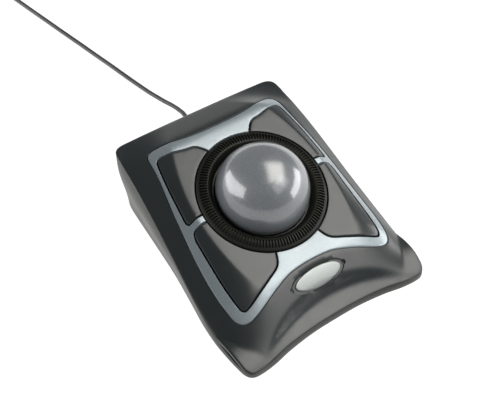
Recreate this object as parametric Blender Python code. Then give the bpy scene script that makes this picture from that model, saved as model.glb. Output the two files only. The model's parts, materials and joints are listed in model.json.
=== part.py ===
"""A desktop trackball mouse: a 55 mm ball in a scroll ring, four large sprung buttons, a metal-look
bezel, a two-part case and a USB lead wound into a coil.

Front is -Y, right is +X and the desk is z = 0. The origin is the middle of the footprint. Sizes below
are in millimetres and MM turns them into Blender's metres. The top of the case lies in a plane that
rises towards the back. The ring, the ball and everything under them are laid out in the ring's own
frame: x to the right, v up the slope and h along the ring's normal."""
from math import atan2, cos, exp, hypot, log1p, pi, radians, sin, sqrt, tau

import bmesh
import bpy
from mathutils import Matrix, Vector
from mathutils.geometry import delaunay_2d_cdt

MM = 0.001

# ---------------------------------------------------------------- driving sizes
BALL_RADIUS = 27.5
RING_RADIUS = 38.5
RING_CENTRE = Vector((0.0, 3.8, 38.4))
TILT = radians(14.57)
BALL_RISE = 0.66                      # the ball's centre above the ring's plane
AIR = 0.3                             # between pieces that touch
SLOT_WIDTH = 0.9                      # the dark line around a button
RING_GAP = 0.65

# top cover
COVER_WALL = 2.4
COVER_EDGE = 0.6
LEDGE_DROP = 2.9                      # the ledge that carries the bezel lies this far down
LEDGE_WALL = 1.4
LEDGE_WIDTH = 2.4
REBATE_TOP = 0.35
REBATE_FOOT = 0.1
REBATE_FADE = 3.0
APRON_FOOT = 5.6                      # height of the front apron along the cover's front edge
APRON_FLAT = 0.42                     # its slope in the flat band behind that edge
APRON_BAND, APRON_REACH = 11.5, 65.4  # depth of the band in the middle, and the half-width where it dies out
APRON_STEEP = 2.4                     # slope added behind the band

# bottom case
CASE_FOOT = 1.0
FLOOR_TOP = 3.0
CASE_WALL = 2.2
CASE_BELT = 1.9                       # how far the wall swells below the rim, fading towards the front
WALL_STEPS = (0.0, 0.5, 0.78, 0.92, 1.0)
INNER_STEPS = (0.0, 0.7, 1.0)

# bezel and buttons
BEZEL_WALL = 2.2
BUTTON_WALL = 2.0
HINGE_RADIUS = 41.0                   # from the ring's axis to a button's hinge pin
HINGE_DEPTH = -3.8
PIN_RADIUS = 0.75
PIN_HOLE = 1.05
PIN_HALF = 15.0
KNUCKLE_PLACES = (-6.0, 6.0)
POST_PLACES = (-13.0, 13.0)
SWITCH_RADIUS = 50.0                  # from the ring's axis to a switch plunger
BUTTONS = {"button_front_right": -41.0, "button_front_left": -139.0,
           "button_rear_right": 42.0, "button_rear_left": 138.0}

# inner pieces, as heights in the ring's frame
CARRIER_TOP, CARRIER_WALL = -10.7, 1.4
UPPER_BOARD_TOP, BOARD_WALL = -12.4, 1.6
MAIN_BOARD_TOP = 6.3
SWITCH_TOP = -5.6
PLUNGER_TOP = -4.1
SOCKET_INNER, SOCKET_OUTER = 28.3, 30.2
SENSOR_HOLE = 6.0
BEARING_RADIUS = 1.25
BEARING_ANGLE = radians(50.0)
BEARINGS = ("bearing_ball_1", "bearing_ball_2", "bearing_ball_3")
SOCKET_SCREWS = (0.0, 180.0, 270.0)
SOCKET_SCREW_RADIUS = 41.5

CASE_SCREWS = ((50.0, -58.0), (-50.0, -58.0), (48.0, 58.6), (-48.0, 58.6))
BOARD_SCREWS = ((24.0, -22.0), (-24.0, 31.0))
FEET = ((40.0, -67.5), (-40.0, -67.5), (34.0, 59.0), (-34.0, 59.0))

# lead
CORD_RADIUS = 1.5
EXIT_HEIGHT = 19.0
RELIEF_END = 81.2
COIL_CENTRE = (-14.0, 304.0)
COIL_MIDDLE = 17.0                    # radius to the middle of the turns
COIL_HALF = 7.6                       # half the width of the bundle of turns
COIL_HEIGHT = 12.4


# ---------------------------------------------------------------- outlines
# Half outlines from the front centre to the back centre; the left half mirrors the right.
SILVER_HALF = [(0, -43.7), (14, -44.7), (26, -48.2), (37, -52.2), (44.5, -54.2), (48.6, -54.2),
               (51.4, -52.9), (53.4, -50.2), (54.4, -46.5), (55.1, -38), (55.1, -28), (54.6, -18),
               (53.7, -7), (52.2, 6), (50.6, 19), (48.9, 29.5), (47.4, 38.5), (46.3, 47.5),
               (45.8, 53), (44.4, 57), (41, 58.4), (36, 57.2), (28, 54.6), (16, 52.6), (0, 52)]

# The case edge: the rim under the cover, then the foot of the wall below it.
EDGE_HALF = [((0, -71.3), (0, -72.3)), ((17, -71.8), (17, -72.7)), ((33, -73.4), (33.5, -74.6)),
             ((45, -75.6), (45, -76.9)), ((54.5, -77.1), (54.5, -77.8)), ((59.7, -76.7), (60, -77)),
             ((62.6, -73.8), (63, -73.5)), ((63.7, -68.5), (64.3, -67)), ((64.5, -60), (65.2, -59)),
             ((65, -47), (65.8, -48)), ((64.8, -33), (65.1, -34)), ((63.8, -17), (63, -17)),
             ((62.2, 2), (60.9, 2)), ((60.9, 20), (59.8, 20)), ((59.7, 38), (59, 36)),
             ((58.6, 55), (58.2, 52.5)), ((57.8, 67), (57.4, 61)), ((56.7, 74.2), (55.8, 65)),
             ((52.3, 77.4), (51, 66.8)), ((43, 77.8), (42, 67)), ((22, 77.8), (22, 67)),
             ((0, 77.8), (0, 67))]

# The middle of the dark line around a right-hand button; both ends run in under the ring.
FRONT_SLOT = [(36.0, 2.2), (43.8, 2.3), (47.3, 2.0), (48.7, -1.5), (49.0, -8), (49.3, -18.5),
              (49.6, -30), (49.4, -40), (48.9, -45.8), (47.6, -48.5), (44.7, -48.9), (36.8, -46.4),
              (27, -42.4), (18.3, -38.0), (14.3, -30.6), (13.4, -28.6)]
REAR_SLOT = [(12.8, 37.2), (14.1, 38.8), (19.6, 44.7), (27, 46.2), (35.2, 48.2), (40.6, 50.0),
             (42.6, 49.2), (43.7, 46.5), (45.1, 38.5), (46.5, 28.5), (47.5, 18.8), (48.3, 10.4),
             (47.7, 7.4), (45.6, 6.7), (36.0, 6.9)]

# Crease half-widths of the rim by y, from front to back.
RIM_WIDTHS = [(-78, 61.2), (-74, 62.6), (-68.5, 63.7), (-60, 64.5), (-47, 65), (-33, 64.8), (-17, 63.8),
              (2, 62.2), (20, 60.9), (38, 59.7), (55, 58.6), (67, 57.8), (78, 56)]

# Badge recess and badge, as half-lengths and half-widths of ellipses.
BADGE_CENTRE_Y = -52.6
RECESS_EDGE = (18.0, 5.9)
RECESS_FLOOR = (17.5, 5.4)
RECESS_DEPTH = 1.1
BADGE_SIZE = (15.4, 4.5)

# The lead's own route from the strain relief to the coil, laid by hand.
LEAD_ROUTE = [(0.0, 81.6, 19.0), (0.1, 83.6, 19.0), (1.0, 87.0, 18.7), (2.6, 91.0, 17.9), (4.1, 95.7, 16.7),
              (5.1, 100.7, 15.0), (5.5, 106.0, 13.0), (5.6, 111.6, 10.9), (5.3, 117.5, 8.7),
              (4.7, 123.5, 6.5), (3.6, 131.5, 4.4), (2.1, 139.7, 2.9), (0.1, 149.5, 2.0),
              (-2.3, 159.6, 1.8), (-7.0, 179.5, 1.8), (-10.8, 194.7, 1.8), (-14.4, 209.5, 1.8),
              (-19.9, 231.4, 1.8), (-24.2, 249.0, 1.8), (-28.0, 264.3, 1.8), (-31.4, 278.5, 1.8),
              (-33.4, 286.6, 1.8)]
TAIL_ROUTE = [(0.0, 327.3, 1.8), (5.0, 327.0, 2.0), (11.5, 325.2, 2.7), (17.0, 321.2, 3.5),
              (20.8, 315.5, 4.1), (22.0, 310.0, 4.25), (22.0, 306.3, 4.25)]
PLUG_START = (22.0, 306.0)
PLUG_HEIGHT = 4.25


# ---------------------------------------------------------------- small mathematics
def softplus(value, softness):
    """Zero below nought and rising one for one above it, with a soft bend."""
    return softness * log1p(exp(min(value / softness, 60.0)))


def smoothstep(t):
    t = min(max(t, 0.0), 1.0)
    return t * t * (3.0 - 2.0 * t)


def interpolate(table, value):
    """Straight-line lookup in a table of (place, amount) pairs."""
    if value <= table[0][0]:
        return table[0][1]
    for (a, fa), (b, fb) in zip(table, table[1:]):
        if value <= b:
            return fa + (fb - fa) * (value - a) / (b - a)
    return table[-1][1]


def top_plane(y):
    """Height of the sloping plane that carries the ring."""
    return RING_CENTRE.z + (y - RING_CENTRE.y) * sin(TILT) / cos(TILT)


def crown(y):
    """Height of the top along its middle: the plane, with a slope at the front and at the back."""
    return top_plane(y) - 0.38 * softplus(-43.5 - y, 1.5) - 0.725 * softplus(y - 52.0, 2.0)


def rim_height(y):
    return 5.2 + 32.8 * smoothstep((y + 64.0) / 138.0)


def part_line(y):
    """Height of the joint between the cover and the case."""
    return rim_height(y) - COVER_EDGE


def knee(y):
    """Half-width of the flat middle of the top."""
    return max(43.5 - 0.0048 * (y - 2.0) ** 2, 5.0)


def top_height(x, y):
    """The object's upper surface: a flat middle, sides that fall to the rim and a steep front apron."""
    x = abs(x)
    inner = knee(y)
    fall = max(0.0, (x - inner) / (interpolate(RIM_WIDTHS, y) - inner))
    power = 1.0 + (0.0005 if y < 0 else 0.0001) * y * y
    middle = crown(y)
    height = middle - (middle - rim_height(y)) * fall ** power
    from_edge = y + 71.3 + 0.0024 * x * x
    band = APRON_BAND * max(1.0 - (x / APRON_REACH) ** 2, 0.0)
    apron = APRON_FOOT + APRON_FLAT * from_edge + APRON_STEEP * softplus(from_edge - band, 0.8)
    blend = 1.2
    return height - blend * log1p(exp(min((height - apron) / blend, 60.0)))


def ring_point(x, v, h):
    """A point of the ring's frame in the object's frame."""
    return Vector((x, RING_CENTRE.y + v * cos(TILT) - h * sin(TILT),
                   RING_CENTRE.z + v * sin(TILT) + h * cos(TILT)))


def ring_matrix():
    return Matrix.Translation(RING_CENTRE) @ Matrix.Rotation(TILT, 4, "X")


def along(degrees_round, radius, side=0.0):
    """The (x, v) place at a radius and a sideways distance for a direction round the ring."""
    a = radians(degrees_round)
    return radius * cos(a) - side * sin(a), radius * sin(a) + side * cos(a)


# ---------------------------------------------------------------- outline tools
def spline(points, steps, closed=True):
    """Catmull-Rom curve through the points."""
    count = len(points)
    vectors = [Vector(p) for p in points]
    out = []
    spans = count if closed else count - 1
    for i in range(spans):
        if closed:
            p0, p1, p2, p3 = (vectors[(i + k) % count] for k in (-1, 0, 1, 2))
        else:
            p1, p2 = vectors[i], vectors[i + 1]
            p0 = vectors[i - 1] if i else p1 * 2 - p2
            p3 = vectors[i + 2] if i + 2 < count else p2 * 2 - p1
        for k in range(steps):
            t = k / steps
            out.append(0.5 * (2 * p1 + (p2 - p0) * t + (2 * p0 - 5 * p1 + 4 * p2 - p3) * t * t
                              + (3 * p1 - p0 - 3 * p2 + p3) * t ** 3))
    if not closed:
        out.append(vectors[-1])
    return out


def mirrored(half):
    """Full counter-clockwise loop from a half outline that starts and ends on the centre line."""
    return list(half) + [(-x, y) for x, y in reversed(half[1:-1])]


def offset(loop, distance):
    """The loop moved inwards by a distance; outwards when it is negative."""
    out = []
    count = len(loop)
    for i in range(count):
        before, here, after = loop[i - 1], loop[i], loop[(i + 1) % count]
        a = (here - before).normalized()
        b = (after - here).normalized()
        normal = Vector((-a.y - b.y, a.x + b.x)).normalized()
        stretch = max(normal.dot(Vector((-a.y, a.x))), 0.5)
        out.append(here + normal * (distance / stretch))
    return out


def inside(loop, x, y):
    """Whether a point lies in a closed loop."""
    result = False
    x1, y1 = loop[-1]
    for x2, y2 in loop:
        if (y1 > y) != (y2 > y) and x < (x2 - x1) * (y - y1) / (y2 - y1) + x1:
            result = not result
        x1, y1 = x2, y2
    return result


def distance_to(loop, x, y):
    """Distance from a point to a closed loop."""
    best = 1e9
    x1, y1 = loop[-1]
    for x2, y2 in loop:
        dx, dy = x2 - x1, y2 - y1
        t = min(max(((x - x1) * dx + (y - y1) * dy) / (dx * dx + dy * dy), 0.0), 1.0)
        best = min(best, hypot(x - x1 - t * dx, y - y1 - t * dy))
        x1, y1 = x2, y2
    return best


def depth_in(loop, x, y):
    """Distance to a loop, positive inside it."""
    return distance_to(loop, x, y) * (1.0 if inside(loop, x, y) else -1.0)


def ellipse(a, b, count, centre=(0.0, 0.0)):
    return [Vector((centre[0] + a * cos(tau * k / count), centre[1] + b * sin(tau * k / count)))
            for k in range(count)]


def ring_shadow(radius, count=72):
    """Plan view of a circle about the ring's axis, in the ring's plane."""
    return ellipse(radius, radius * cos(TILT), count, (0.0, RING_CENTRE.y))


def rectangle(centre, size, turn=0.0):
    c, s = cos(turn), sin(turn)
    corners = [(-1, -1), (1, -1), (1, 1), (-1, 1)]
    return [Vector((centre[0] + c * px * size[0] / 2 - s * py * size[1] / 2,
                    centre[1] + s * px * size[0] / 2 + c * py * size[1] / 2)) for px, py in corners]


def rounded_rectangle(centre, size, radius, steps=4):
    out = []
    for k, (px, py) in enumerate([(1, 1), (-1, 1), (-1, -1), (1, -1)]):
        cx = centre[0] + px * (size[0] / 2 - radius)
        cy = centre[1] + py * (size[1] / 2 - radius)
        for j in range(steps + 1):
            a = (k + j / steps) * pi / 2
            out.append(Vector((cx + radius * cos(a), cy + radius * sin(a))))
    return out


# ---------------------------------------------------------------- mesh tools
def clear_scene():
    for obj in list(bpy.data.objects):
        bpy.data.objects.remove(obj, do_unlink=True)


def finish_look(name, colour, roughness, metallic=0.0, alpha=1.0):
    look = bpy.data.materials.new(name)
    look.use_nodes = True
    shader = look.node_tree.nodes["Principled BSDF"]
    shader.inputs["Base Color"].default_value = (*colour, 1.0)
    shader.inputs["Roughness"].default_value = roughness
    shader.inputs["Metallic"].default_value = metallic
    shader.inputs["Alpha"].default_value = alpha
    return look


PLASTIC = ((0.035, 0.038, 0.038), 0.35)
SILVER = ((0.42, 0.45, 0.47), 0.35, 0.6)
STEEL = ((0.5, 0.5, 0.52), 0.3, 1.0)
RUBBER = ((0.02, 0.02, 0.02), 0.8)
BOARD = ((0.02, 0.16, 0.08), 0.5)
CHIP = ((0.015, 0.015, 0.017), 0.5)
ACETAL = ((0.75, 0.74, 0.7), 0.4)


def add_piece(name, points, faces, look, origin=(0, 0, 0), smooth=True):
    """One closed solid as its own object; points and origin are in millimetres."""
    start = Vector(origin)
    mesh = bpy.data.meshes.new(name)
    mesh.from_pydata([(Vector(p) - start) * MM for p in points], [], faces)
    work = bmesh.new()
    work.from_mesh(mesh)
    bmesh.ops.recalc_face_normals(work, faces=work.faces)
    work.to_mesh(mesh)
    work.free()
    if smooth:
        mesh.shade_smooth()
        mesh.set_sharp_from_angle(angle=radians(32))
    obj = bpy.data.objects.new(name, mesh)
    obj.location = start * MM
    obj.data.materials.append(finish_look(name, *look))
    bpy.context.scene.collection.objects.link(obj)
    return obj


def plan_solid(loops, keep, top, bottom, spacing, place=None, folds=()):
    """Points and faces of a plate drawn in plan. Loops are its closed outlines, folds are open lines
    that its mesh follows, and keep says what is material."""
    points, edges = [], []
    for loop in loops:
        first = len(points)
        points += [Vector((p[0], p[1])) for p in loop]
        edges += [(first + k, first + (k + 1) % len(loop)) for k in range(len(loop))]
    for fold in folds:
        first = len(points)
        points += [Vector((p[0], p[1])) for p in fold]
        edges += [(first + k, first + k + 1) for k in range(len(fold) - 1)]
    x0, x1 = min(p.x for p in points), max(p.x for p in points)
    y0, y1 = min(p.y for p in points), max(p.y for p in points)
    columns, rows = int((x1 - x0) / spacing), int((y1 - y0) / spacing)
    for i in range(columns + 1):
        for j in range(rows + 1):
            x = (x0 + x1) / 2 + (i - columns / 2) * spacing
            y = y0 + (j + 0.5) * spacing
            if keep(x, y) and all(distance_to(line, x, y) > 0.55 * spacing for line in (*loops, *folds)):
                points.append(Vector((x, y)))
    flat, _, triangles, *_ = delaunay_2d_cdt(points, edges, [], 0, 1e-5)
    kept = []
    for tri in triangles:
        a, b, c = (flat[i] for i in tri)
        if abs((b - a).cross(c - a)) < 1e-7:
            continue
        if keep((a.x + b.x + c.x) / 3, (a.y + b.y + c.y) / 3):
            kept.append(tri if (b - a).cross(c - a) > 0 else tuple(reversed(tri)))
    used = sorted({i for tri in kept for i in tri})
    number = {old: new for new, old in enumerate(used)}
    upper = [(flat[i].x, flat[i].y, top(flat[i].x, flat[i].y)) for i in used]
    lower = [(flat[i].x, flat[i].y, bottom(flat[i].x, flat[i].y)) for i in used]
    count = len(used)
    faces, border = [], {}
    for tri in kept:
        a, b, c = (number[i] for i in tri)
        faces += [(a, b, c), (c + count, b + count, a + count)]
        for edge in ((a, b), (b, c), (c, a)):
            border[edge] = True
    for a, b in border:
        if (b, a) not in border:
            faces.append((b, a, a + count, b + count))
    solid = upper + lower
    if place:
        solid = [place(*p) for p in solid]
    return solid, faces


def turned_solid(profile, segments, matrix=None):
    """Points and faces of a closed (radius, height) profile spun about Z; radius 0 makes a pole."""
    points, faces, rings = [], [], []
    for radius, height in profile:
        if radius < 1e-9:
            rings.append([len(points)])
            points.append(Vector((0, 0, height)))
        else:
            rings.append(list(range(len(points), len(points) + segments)))
            points += [Vector((radius * cos(tau * k / segments), radius * sin(tau * k / segments), height))
                       for k in range(segments)]
    hollow = all(len(r) > 1 for r in rings)
    pairs = list(zip(rings, rings[1:] + rings[:1])) if hollow else list(zip(rings, rings[1:]))
    for a, b in pairs:
        for k in range(segments):
            n = (k + 1) % segments
            if len(a) == 1 and len(b) == 1:
                continue
            if len(a) == 1:
                faces.append((a[0], b[n], b[k]))
            elif len(b) == 1:
                faces.append((a[k], a[n], b[0]))
            else:
                faces.append((a[k], a[n], b[n], b[k]))
    if matrix:
        points = [matrix @ p for p in points]
    return points, faces


def prism(loop, low, high, place=None):
    """Points and faces of a straight-sided solid over a plan loop."""
    count = len(loop)
    points = [(p[0], p[1], low) for p in loop] + [(p[0], p[1], high) for p in loop]
    faces = [tuple(reversed(range(count))), tuple(range(count, 2 * count))]
    faces += [(k, (k + 1) % count, (k + 1) % count + count, k + count) for k in range(count)]
    if place:
        points = [place(*p) for p in points]
    return points, faces


def rod(start, end, radius, segments=16):
    """Points and faces of a round rod between two points."""
    start, end = Vector(start), Vector(end)
    turn = (end - start).to_track_quat("Z", "Y").to_matrix().to_4x4()
    length = (end - start).length
    profile = [(0, 0), (radius, 0), (radius, length), (0, length)]
    return turned_solid(profile, segments, Matrix.Translation(start) @ turn)


def helper(name, points, faces):
    """A hidden guide solid for a Boolean, at the scene's origin."""
    obj = add_piece(name, points, faces, PLASTIC, smooth=False)
    obj.hide_render = True
    obj.display_type = "WIRE"
    return obj


def combine(obj, points, faces, how, label):
    """Add or cut a guide solid with a Boolean modifier."""
    guide = helper(obj.name + "_" + label, points, faces)
    modifier = obj.modifiers.new(label, "BOOLEAN")
    modifier.operation = how
    modifier.object = guide
    return guide


# ---------------------------------------------------------------- shared outlines
SILVER_LOOP = spline(mirrored(SILVER_HALF), 1)
RIM_LOOP = spline(mirrored([rim for rim, _ in EDGE_HALF]), 2)
FOOT_LOOP = spline(mirrored([foot for _, foot in EDGE_HALF]), 2)


def slot_loop(points, left):
    """A button's slot, on the right or mirrored to the left, always counter-clockwise."""
    loop = spline(points, 2, closed=False)
    area = sum(a.x * b.y - a.y * b.x for a, b in zip(loop, loop[1:] + loop[:1]))
    if area < 0:
        loop.reverse()
    if left:
        loop = [Vector((-p.x, p.y)) for p in reversed(loop)]
    return loop


def knee_line(side, start, end, step=5.0):
    """Plan view of the crease where the flat middle of the top starts to fall to one side."""
    count = int((end - start) / step)
    places = [start + (end - start) * k / count for k in range(count + 1)]
    return [Vector((side * knee(y), y)) for y in places]


KNEES = [knee_line(side, -42.0, 48.0) for side in (-1, 1)]
SLOTS = {name: slot_loop(FRONT_SLOT if "front" in name else REAR_SLOT, "left" in name)
         for name in BUTTONS}


# ---------------------------------------------------------------- outer shells
def recess_depth(x, y):
    """How far the badge recess drops the cover's surface."""
    def reach(size):
        return hypot(x / size[0], (y - BADGE_CENTRE_Y) / size[1])
    if reach(RECESS_FLOOR) <= 1.001:
        return RECESS_DEPTH
    return 0.0


def make_top_cover():
    edges = [RIM_LOOP]
    for step in (-REBATE_FADE, -0.6, -REBATE_TOP, -REBATE_FOOT, LEDGE_WIDTH):
        edges.append(offset(SILVER_LOOP, step))
    opening = edges[-1]
    centre = (0.0, BADGE_CENTRE_Y)
    edges.append(ellipse(*RECESS_EDGE, 32, centre))
    edges.append(ellipse(*RECESS_FLOOR, 32, centre))

    def keep(x, y):
        return inside(RIM_LOOP, x, y) and not inside(opening, x, y)

    def top(x, y):
        drop = LEDGE_DROP if depth_in(SILVER_LOOP, x, y) > -0.5 * (REBATE_TOP + REBATE_FOOT) else 0.0
        return top_height(x, y) - max(drop, recess_depth(x, y))

    def bottom(x, y):
        fade = (depth_in(SILVER_LOOP, x, y) + REBATE_FADE) / (REBATE_FADE - 0.6)
        extra = (LEDGE_DROP + LEDGE_WALL - COVER_WALL) * min(max(fade, 0.0), 1.0)
        low = top_height(x, y) - max(COVER_WALL + extra, recess_depth(x, y) + LEDGE_WALL)
        return max(low, part_line(y))

    cover = add_piece("top_cover", *plan_solid(edges, keep, top, bottom, 7.0), PLASTIC)
    for k, (x, y) in enumerate(CASE_SCREWS):
        roof = top_height(x, y) - 1.2
        combine(cover, *rod((x, y, 6.3), (x, y, roof), 3.2, 12), "UNION", f"boss_{k}")
    for k, (x, y) in enumerate(CASE_SCREWS):
        combine(cover, *rod((x, y, 0.0), (x, y, screw_tip(x, y) + 0.6), 1.5, 10), "DIFFERENCE", f"pilot_{k}")
    return cover


def screw_tip(x, y):
    """Height that a case screw reaches."""
    return min(top_height(x, y) - 5.0, 15.0)


def make_bottom_case():
    """A tray: a flat floor, and a wall that leans out from its foot to the rim."""
    count = len(RIM_LOOP)
    tops = [part_line(p.y) - AIR for p in RIM_LOOP]

    def ring(step, inset, base):
        lean = 0.4 * step + 0.6 * step ** 4
        loop = [foot.lerp(rim, lean) for foot, rim in zip(FOOT_LOOP, RIM_LOOP)]
        swell = CASE_BELT * sin(pi * step * step)
        out = offset(loop, -1.0)
        loop = [p.lerp(q, swell * smoothstep((p.y + 35.0) / 75.0)) for p, q in zip(loop, out)]
        if inset:
            loop = offset(loop, inset)
        return [(p.x, p.y, base + (z - base) * step) for p, z in zip(loop, tops)]

    rings = [ring(step, 0.0, CASE_FOOT) for step in WALL_STEPS]
    rings += [ring(step, CASE_WALL, FLOOR_TOP) for step in reversed(INNER_STEPS)]
    points = [p for loop in rings for p in loop]
    faces = []
    for r in range(len(rings) - 1):
        for k in range(count):
            n = (k + 1) % count
            faces.append((r * count + k, r * count + n, (r + 1) * count + n, (r + 1) * count + k))
    faces.append(tuple(reversed(range(count))))
    faces.append(tuple(range((len(rings) - 1) * count, len(rings) * count)))
    case = add_piece("bottom_case", points, faces, ((0.05, 0.052, 0.05), 0.4))
    for k, (x, y) in enumerate(CASE_SCREWS):
        combine(case, *rod((x, y, FLOOR_TOP - 1.0), (x, y, 6.0), 4.4, 12), "UNION", f"collar_{k}")
    for k, angle in enumerate(SOCKET_SCREWS):
        x, v = along(angle, SOCKET_SCREW_RADIUS)
        combine(case, *leaning_post(x, v, 3.4), "UNION", f"post_{k}")
        low, high = ring_point(x, v, CARRIER_TOP - 12.0), ring_point(x, v, CARRIER_TOP + 1.0)
        combine(case, *rod(low, high, 1.35, 10), "DIFFERENCE", f"post_hole_{k}")
    for k, (x, y) in enumerate(CASE_SCREWS):
        combine(case, *rod((x, y, 0.0), (x, y, 3.3), 3.0, 12), "DIFFERENCE", f"counterbore_{k}")
        combine(case, *rod((x, y, 2.0), (x, y, 8.0), 1.55, 10), "DIFFERENCE", f"clearance_{k}")
    for k, (x, y) in enumerate(BOARD_SCREWS):
        combine(case, *rod((x, y, FLOOR_TOP - 1.0), (x, y, MAIN_BOARD_TOP - BOARD_WALL - AIR), 3.0, 10),
                "UNION", f"standoff_{k}")
        combine(case, *rod((x, y, FLOOR_TOP - 0.8), (x, y, 8.0), 1.0, 8), "DIFFERENCE", f"standoff_hole_{k}")
    combine(case, *rod((0, 58.0, EXIT_HEIGHT), (0, 76.0, EXIT_HEIGHT), 3.5, 16), "DIFFERENCE", "cord_hole")
    return case


def leaning_post(x, v, radius, segments=12):
    """An upright post from the floor whose top follows the underside of the carrier."""
    foot = ring_point(x, v, CARRIER_TOP - CARRIER_WALL - AIR - 0.6)
    points, count = [], segments
    for level in (0, 1):
        for k in range(count):
            px = foot.x + radius * cos(tau * k / count)
            py = foot.y + radius * sin(tau * k / count)
            roof = top_plane(py) + (CARRIER_TOP - CARRIER_WALL - AIR) / cos(TILT)
            points.append((px, py, roof if level else FLOOR_TOP - 1.0))
    faces = [tuple(reversed(range(count))), tuple(range(count, 2 * count))]
    faces += [(k, (k + 1) % count, (k + 1) % count + count, k + count) for k in range(count)]
    return points, faces


def make_bezel():
    """The bright frame: an outer band, two lands and two cross bars around the buttons and the ring."""
    shadow = ring_shadow(RING_RADIUS + RING_GAP)
    slots = [offset(loop, -SLOT_WIDTH / 2) for loop in SLOTS.values()]

    def keep(x, y):
        return (inside(SILVER_LOOP, x, y) and not inside(shadow, x, y)
                and not any(inside(loop, x, y) for loop in slots))

    def bottom(x, y):
        return top_height(x, y) - BEZEL_WALL

    plate = plan_solid([SILVER_LOOP, shadow, *slots], keep, top_height, bottom, 6.0, folds=KNEES)
    return add_piece("bezel_frame", *plate, SILVER)


# ---------------------------------------------------------------- buttons
def make_button(name, angle):
    """A button plate with two knuckles around its pin and a pusher over its switch."""
    outline = offset(SLOTS[name], SLOT_WIDTH / 2)
    shadow = ring_shadow(RING_RADIUS + RING_GAP)

    def keep(x, y):
        return inside(outline, x, y) and not inside(shadow, x, y)

    def bottom(x, y):
        return top_height(x, y) - BUTTON_WALL

    pivot = ring_point(*along(angle, HINGE_RADIUS), HINGE_DEPTH)
    plate = plan_solid([outline, shadow], keep, top_height, bottom, 6.0, folds=KNEES)
    button = add_piece(name, *plate, PLASTIC, pivot)
    for k, side in enumerate(KNUCKLE_PLACES):
        plate = rectangle(along(angle, HINGE_RADIUS, side), (3.8, 2.2), radians(angle))
        combine(button, *prism(plate, HINGE_DEPTH - 2.0, -1.4, ring_point), "UNION", f"knuckle_{k}")
    pusher = [Vector(p) + Vector(along(angle, SWITCH_RADIUS)) for p in ellipse(1.5, 1.5, 10)]
    combine(button, *prism(pusher, PLUNGER_TOP + AIR, -1.4, ring_point), "UNION", "pusher")
    bore = rod(ring_point(*along(angle, HINGE_RADIUS, -9), HINGE_DEPTH),
               ring_point(*along(angle, HINGE_RADIUS, 9), HINGE_DEPTH), PIN_HOLE, 12)
    combine(button, *bore, "DIFFERENCE", "bore")
    return button


def make_hinge_pin(name, angle):
    ends = [ring_point(*along(angle, HINGE_RADIUS, side), HINGE_DEPTH) for side in (-PIN_HALF, PIN_HALF)]
    return add_piece(name, *rod(*ends, PIN_RADIUS, 12), STEEL)


def make_carrier():
    """The plate that carries the hinge pins, with a window for each switch."""
    outline = rounded_rectangle((0.0, 2.0), (98.0, 84.0), 14.0)
    hole = ellipse(31.0, 31.0, 48)
    windows = [rectangle(along(a, SWITCH_RADIUS), (7.0, 14.0), radians(a)) for a in BUTTONS.values()]

    def keep(x, v):
        return (inside(outline, x, v) and not inside(hole, x, v)
                and not any(inside(w, x, v) for w in windows))

    def top(x, v):
        return CARRIER_TOP

    def bottom(x, v):
        return CARRIER_TOP - CARRIER_WALL

    plate = add_piece("button_carrier", *plan_solid([outline, hole, *windows], keep, top, bottom, 12.0,
                                                    ring_point), PLASTIC)
    for name, angle in BUTTONS.items():
        for k, side in enumerate(POST_PLACES):
            post = rectangle(along(angle, HINGE_RADIUS + 0.3, side), (4.4, 2.6), radians(angle))
            combine(plate, *prism(post, CARRIER_TOP - 0.8, -2.7, ring_point), "UNION", f"{name}_post_{k}")
        bore = rod(ring_point(*along(angle, HINGE_RADIUS, -17), HINGE_DEPTH),
                   ring_point(*along(angle, HINGE_RADIUS, 17), HINGE_DEPTH), PIN_HOLE, 10)
        combine(plate, *bore, "DIFFERENCE", f"{name}_bore")
    for k, angle in enumerate(SOCKET_SCREWS):
        x, v = along(angle, SOCKET_SCREW_RADIUS)
        hole = rod(ring_point(x, v, CARRIER_TOP - 3), ring_point(x, v, CARRIER_TOP + 2), 1.5, 10)
        combine(plate, *hole, "DIFFERENCE", f"screw_hole_{k}")
    return plate


def make_switches():
    """Switch bodies with a round well, and the plungers that slide in them."""
    for name, angle in BUTTONS.items():
        place = along(angle, SWITCH_RADIUS)
        label = name.replace("button_", "")
        body = rectangle(place, (5.8, 12.8), radians(angle))
        switch = add_piece(f"switch_{label}", *prism(body, UPPER_BOARD_TOP + AIR, SWITCH_TOP, ring_point),
                           CHIP, smooth=False)
        well = [Vector(p) + Vector(place) for p in ellipse(1.4, 1.4, 10)]
        combine(switch, *prism(well, -8.6, SWITCH_TOP + 2, ring_point), "DIFFERENCE", "well")
        plunger = [Vector(p) + Vector(place) for p in ellipse(1.0, 1.0, 12)]
        add_piece(f"plunger_{label}", *prism(plunger, -7.7, PLUNGER_TOP, ring_point),
                  ((0.6, 0.08, 0.05), 0.4), ring_point(*place, PLUNGER_TOP))


# ---------------------------------------------------------------- ring, ball and socket
def ball_centre():
    return ring_point(0, 0, BALL_RISE)


def make_scroll_ring():
    profile = [(36.2, -3.0), (38.5, -3.0), (38.5, -0.2), (36.8, 1.0), (34.2, 2.2), (31.4, 1.9),
               (28.7, -1.8), (28.7, -3.0), (30.6, -3.0), (30.6, -1.6), (36.2, -1.6)]
    return add_piece("scroll_ring", *turned_solid(profile, 48, ring_matrix()), RUBBER, RING_CENTRE)


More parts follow.
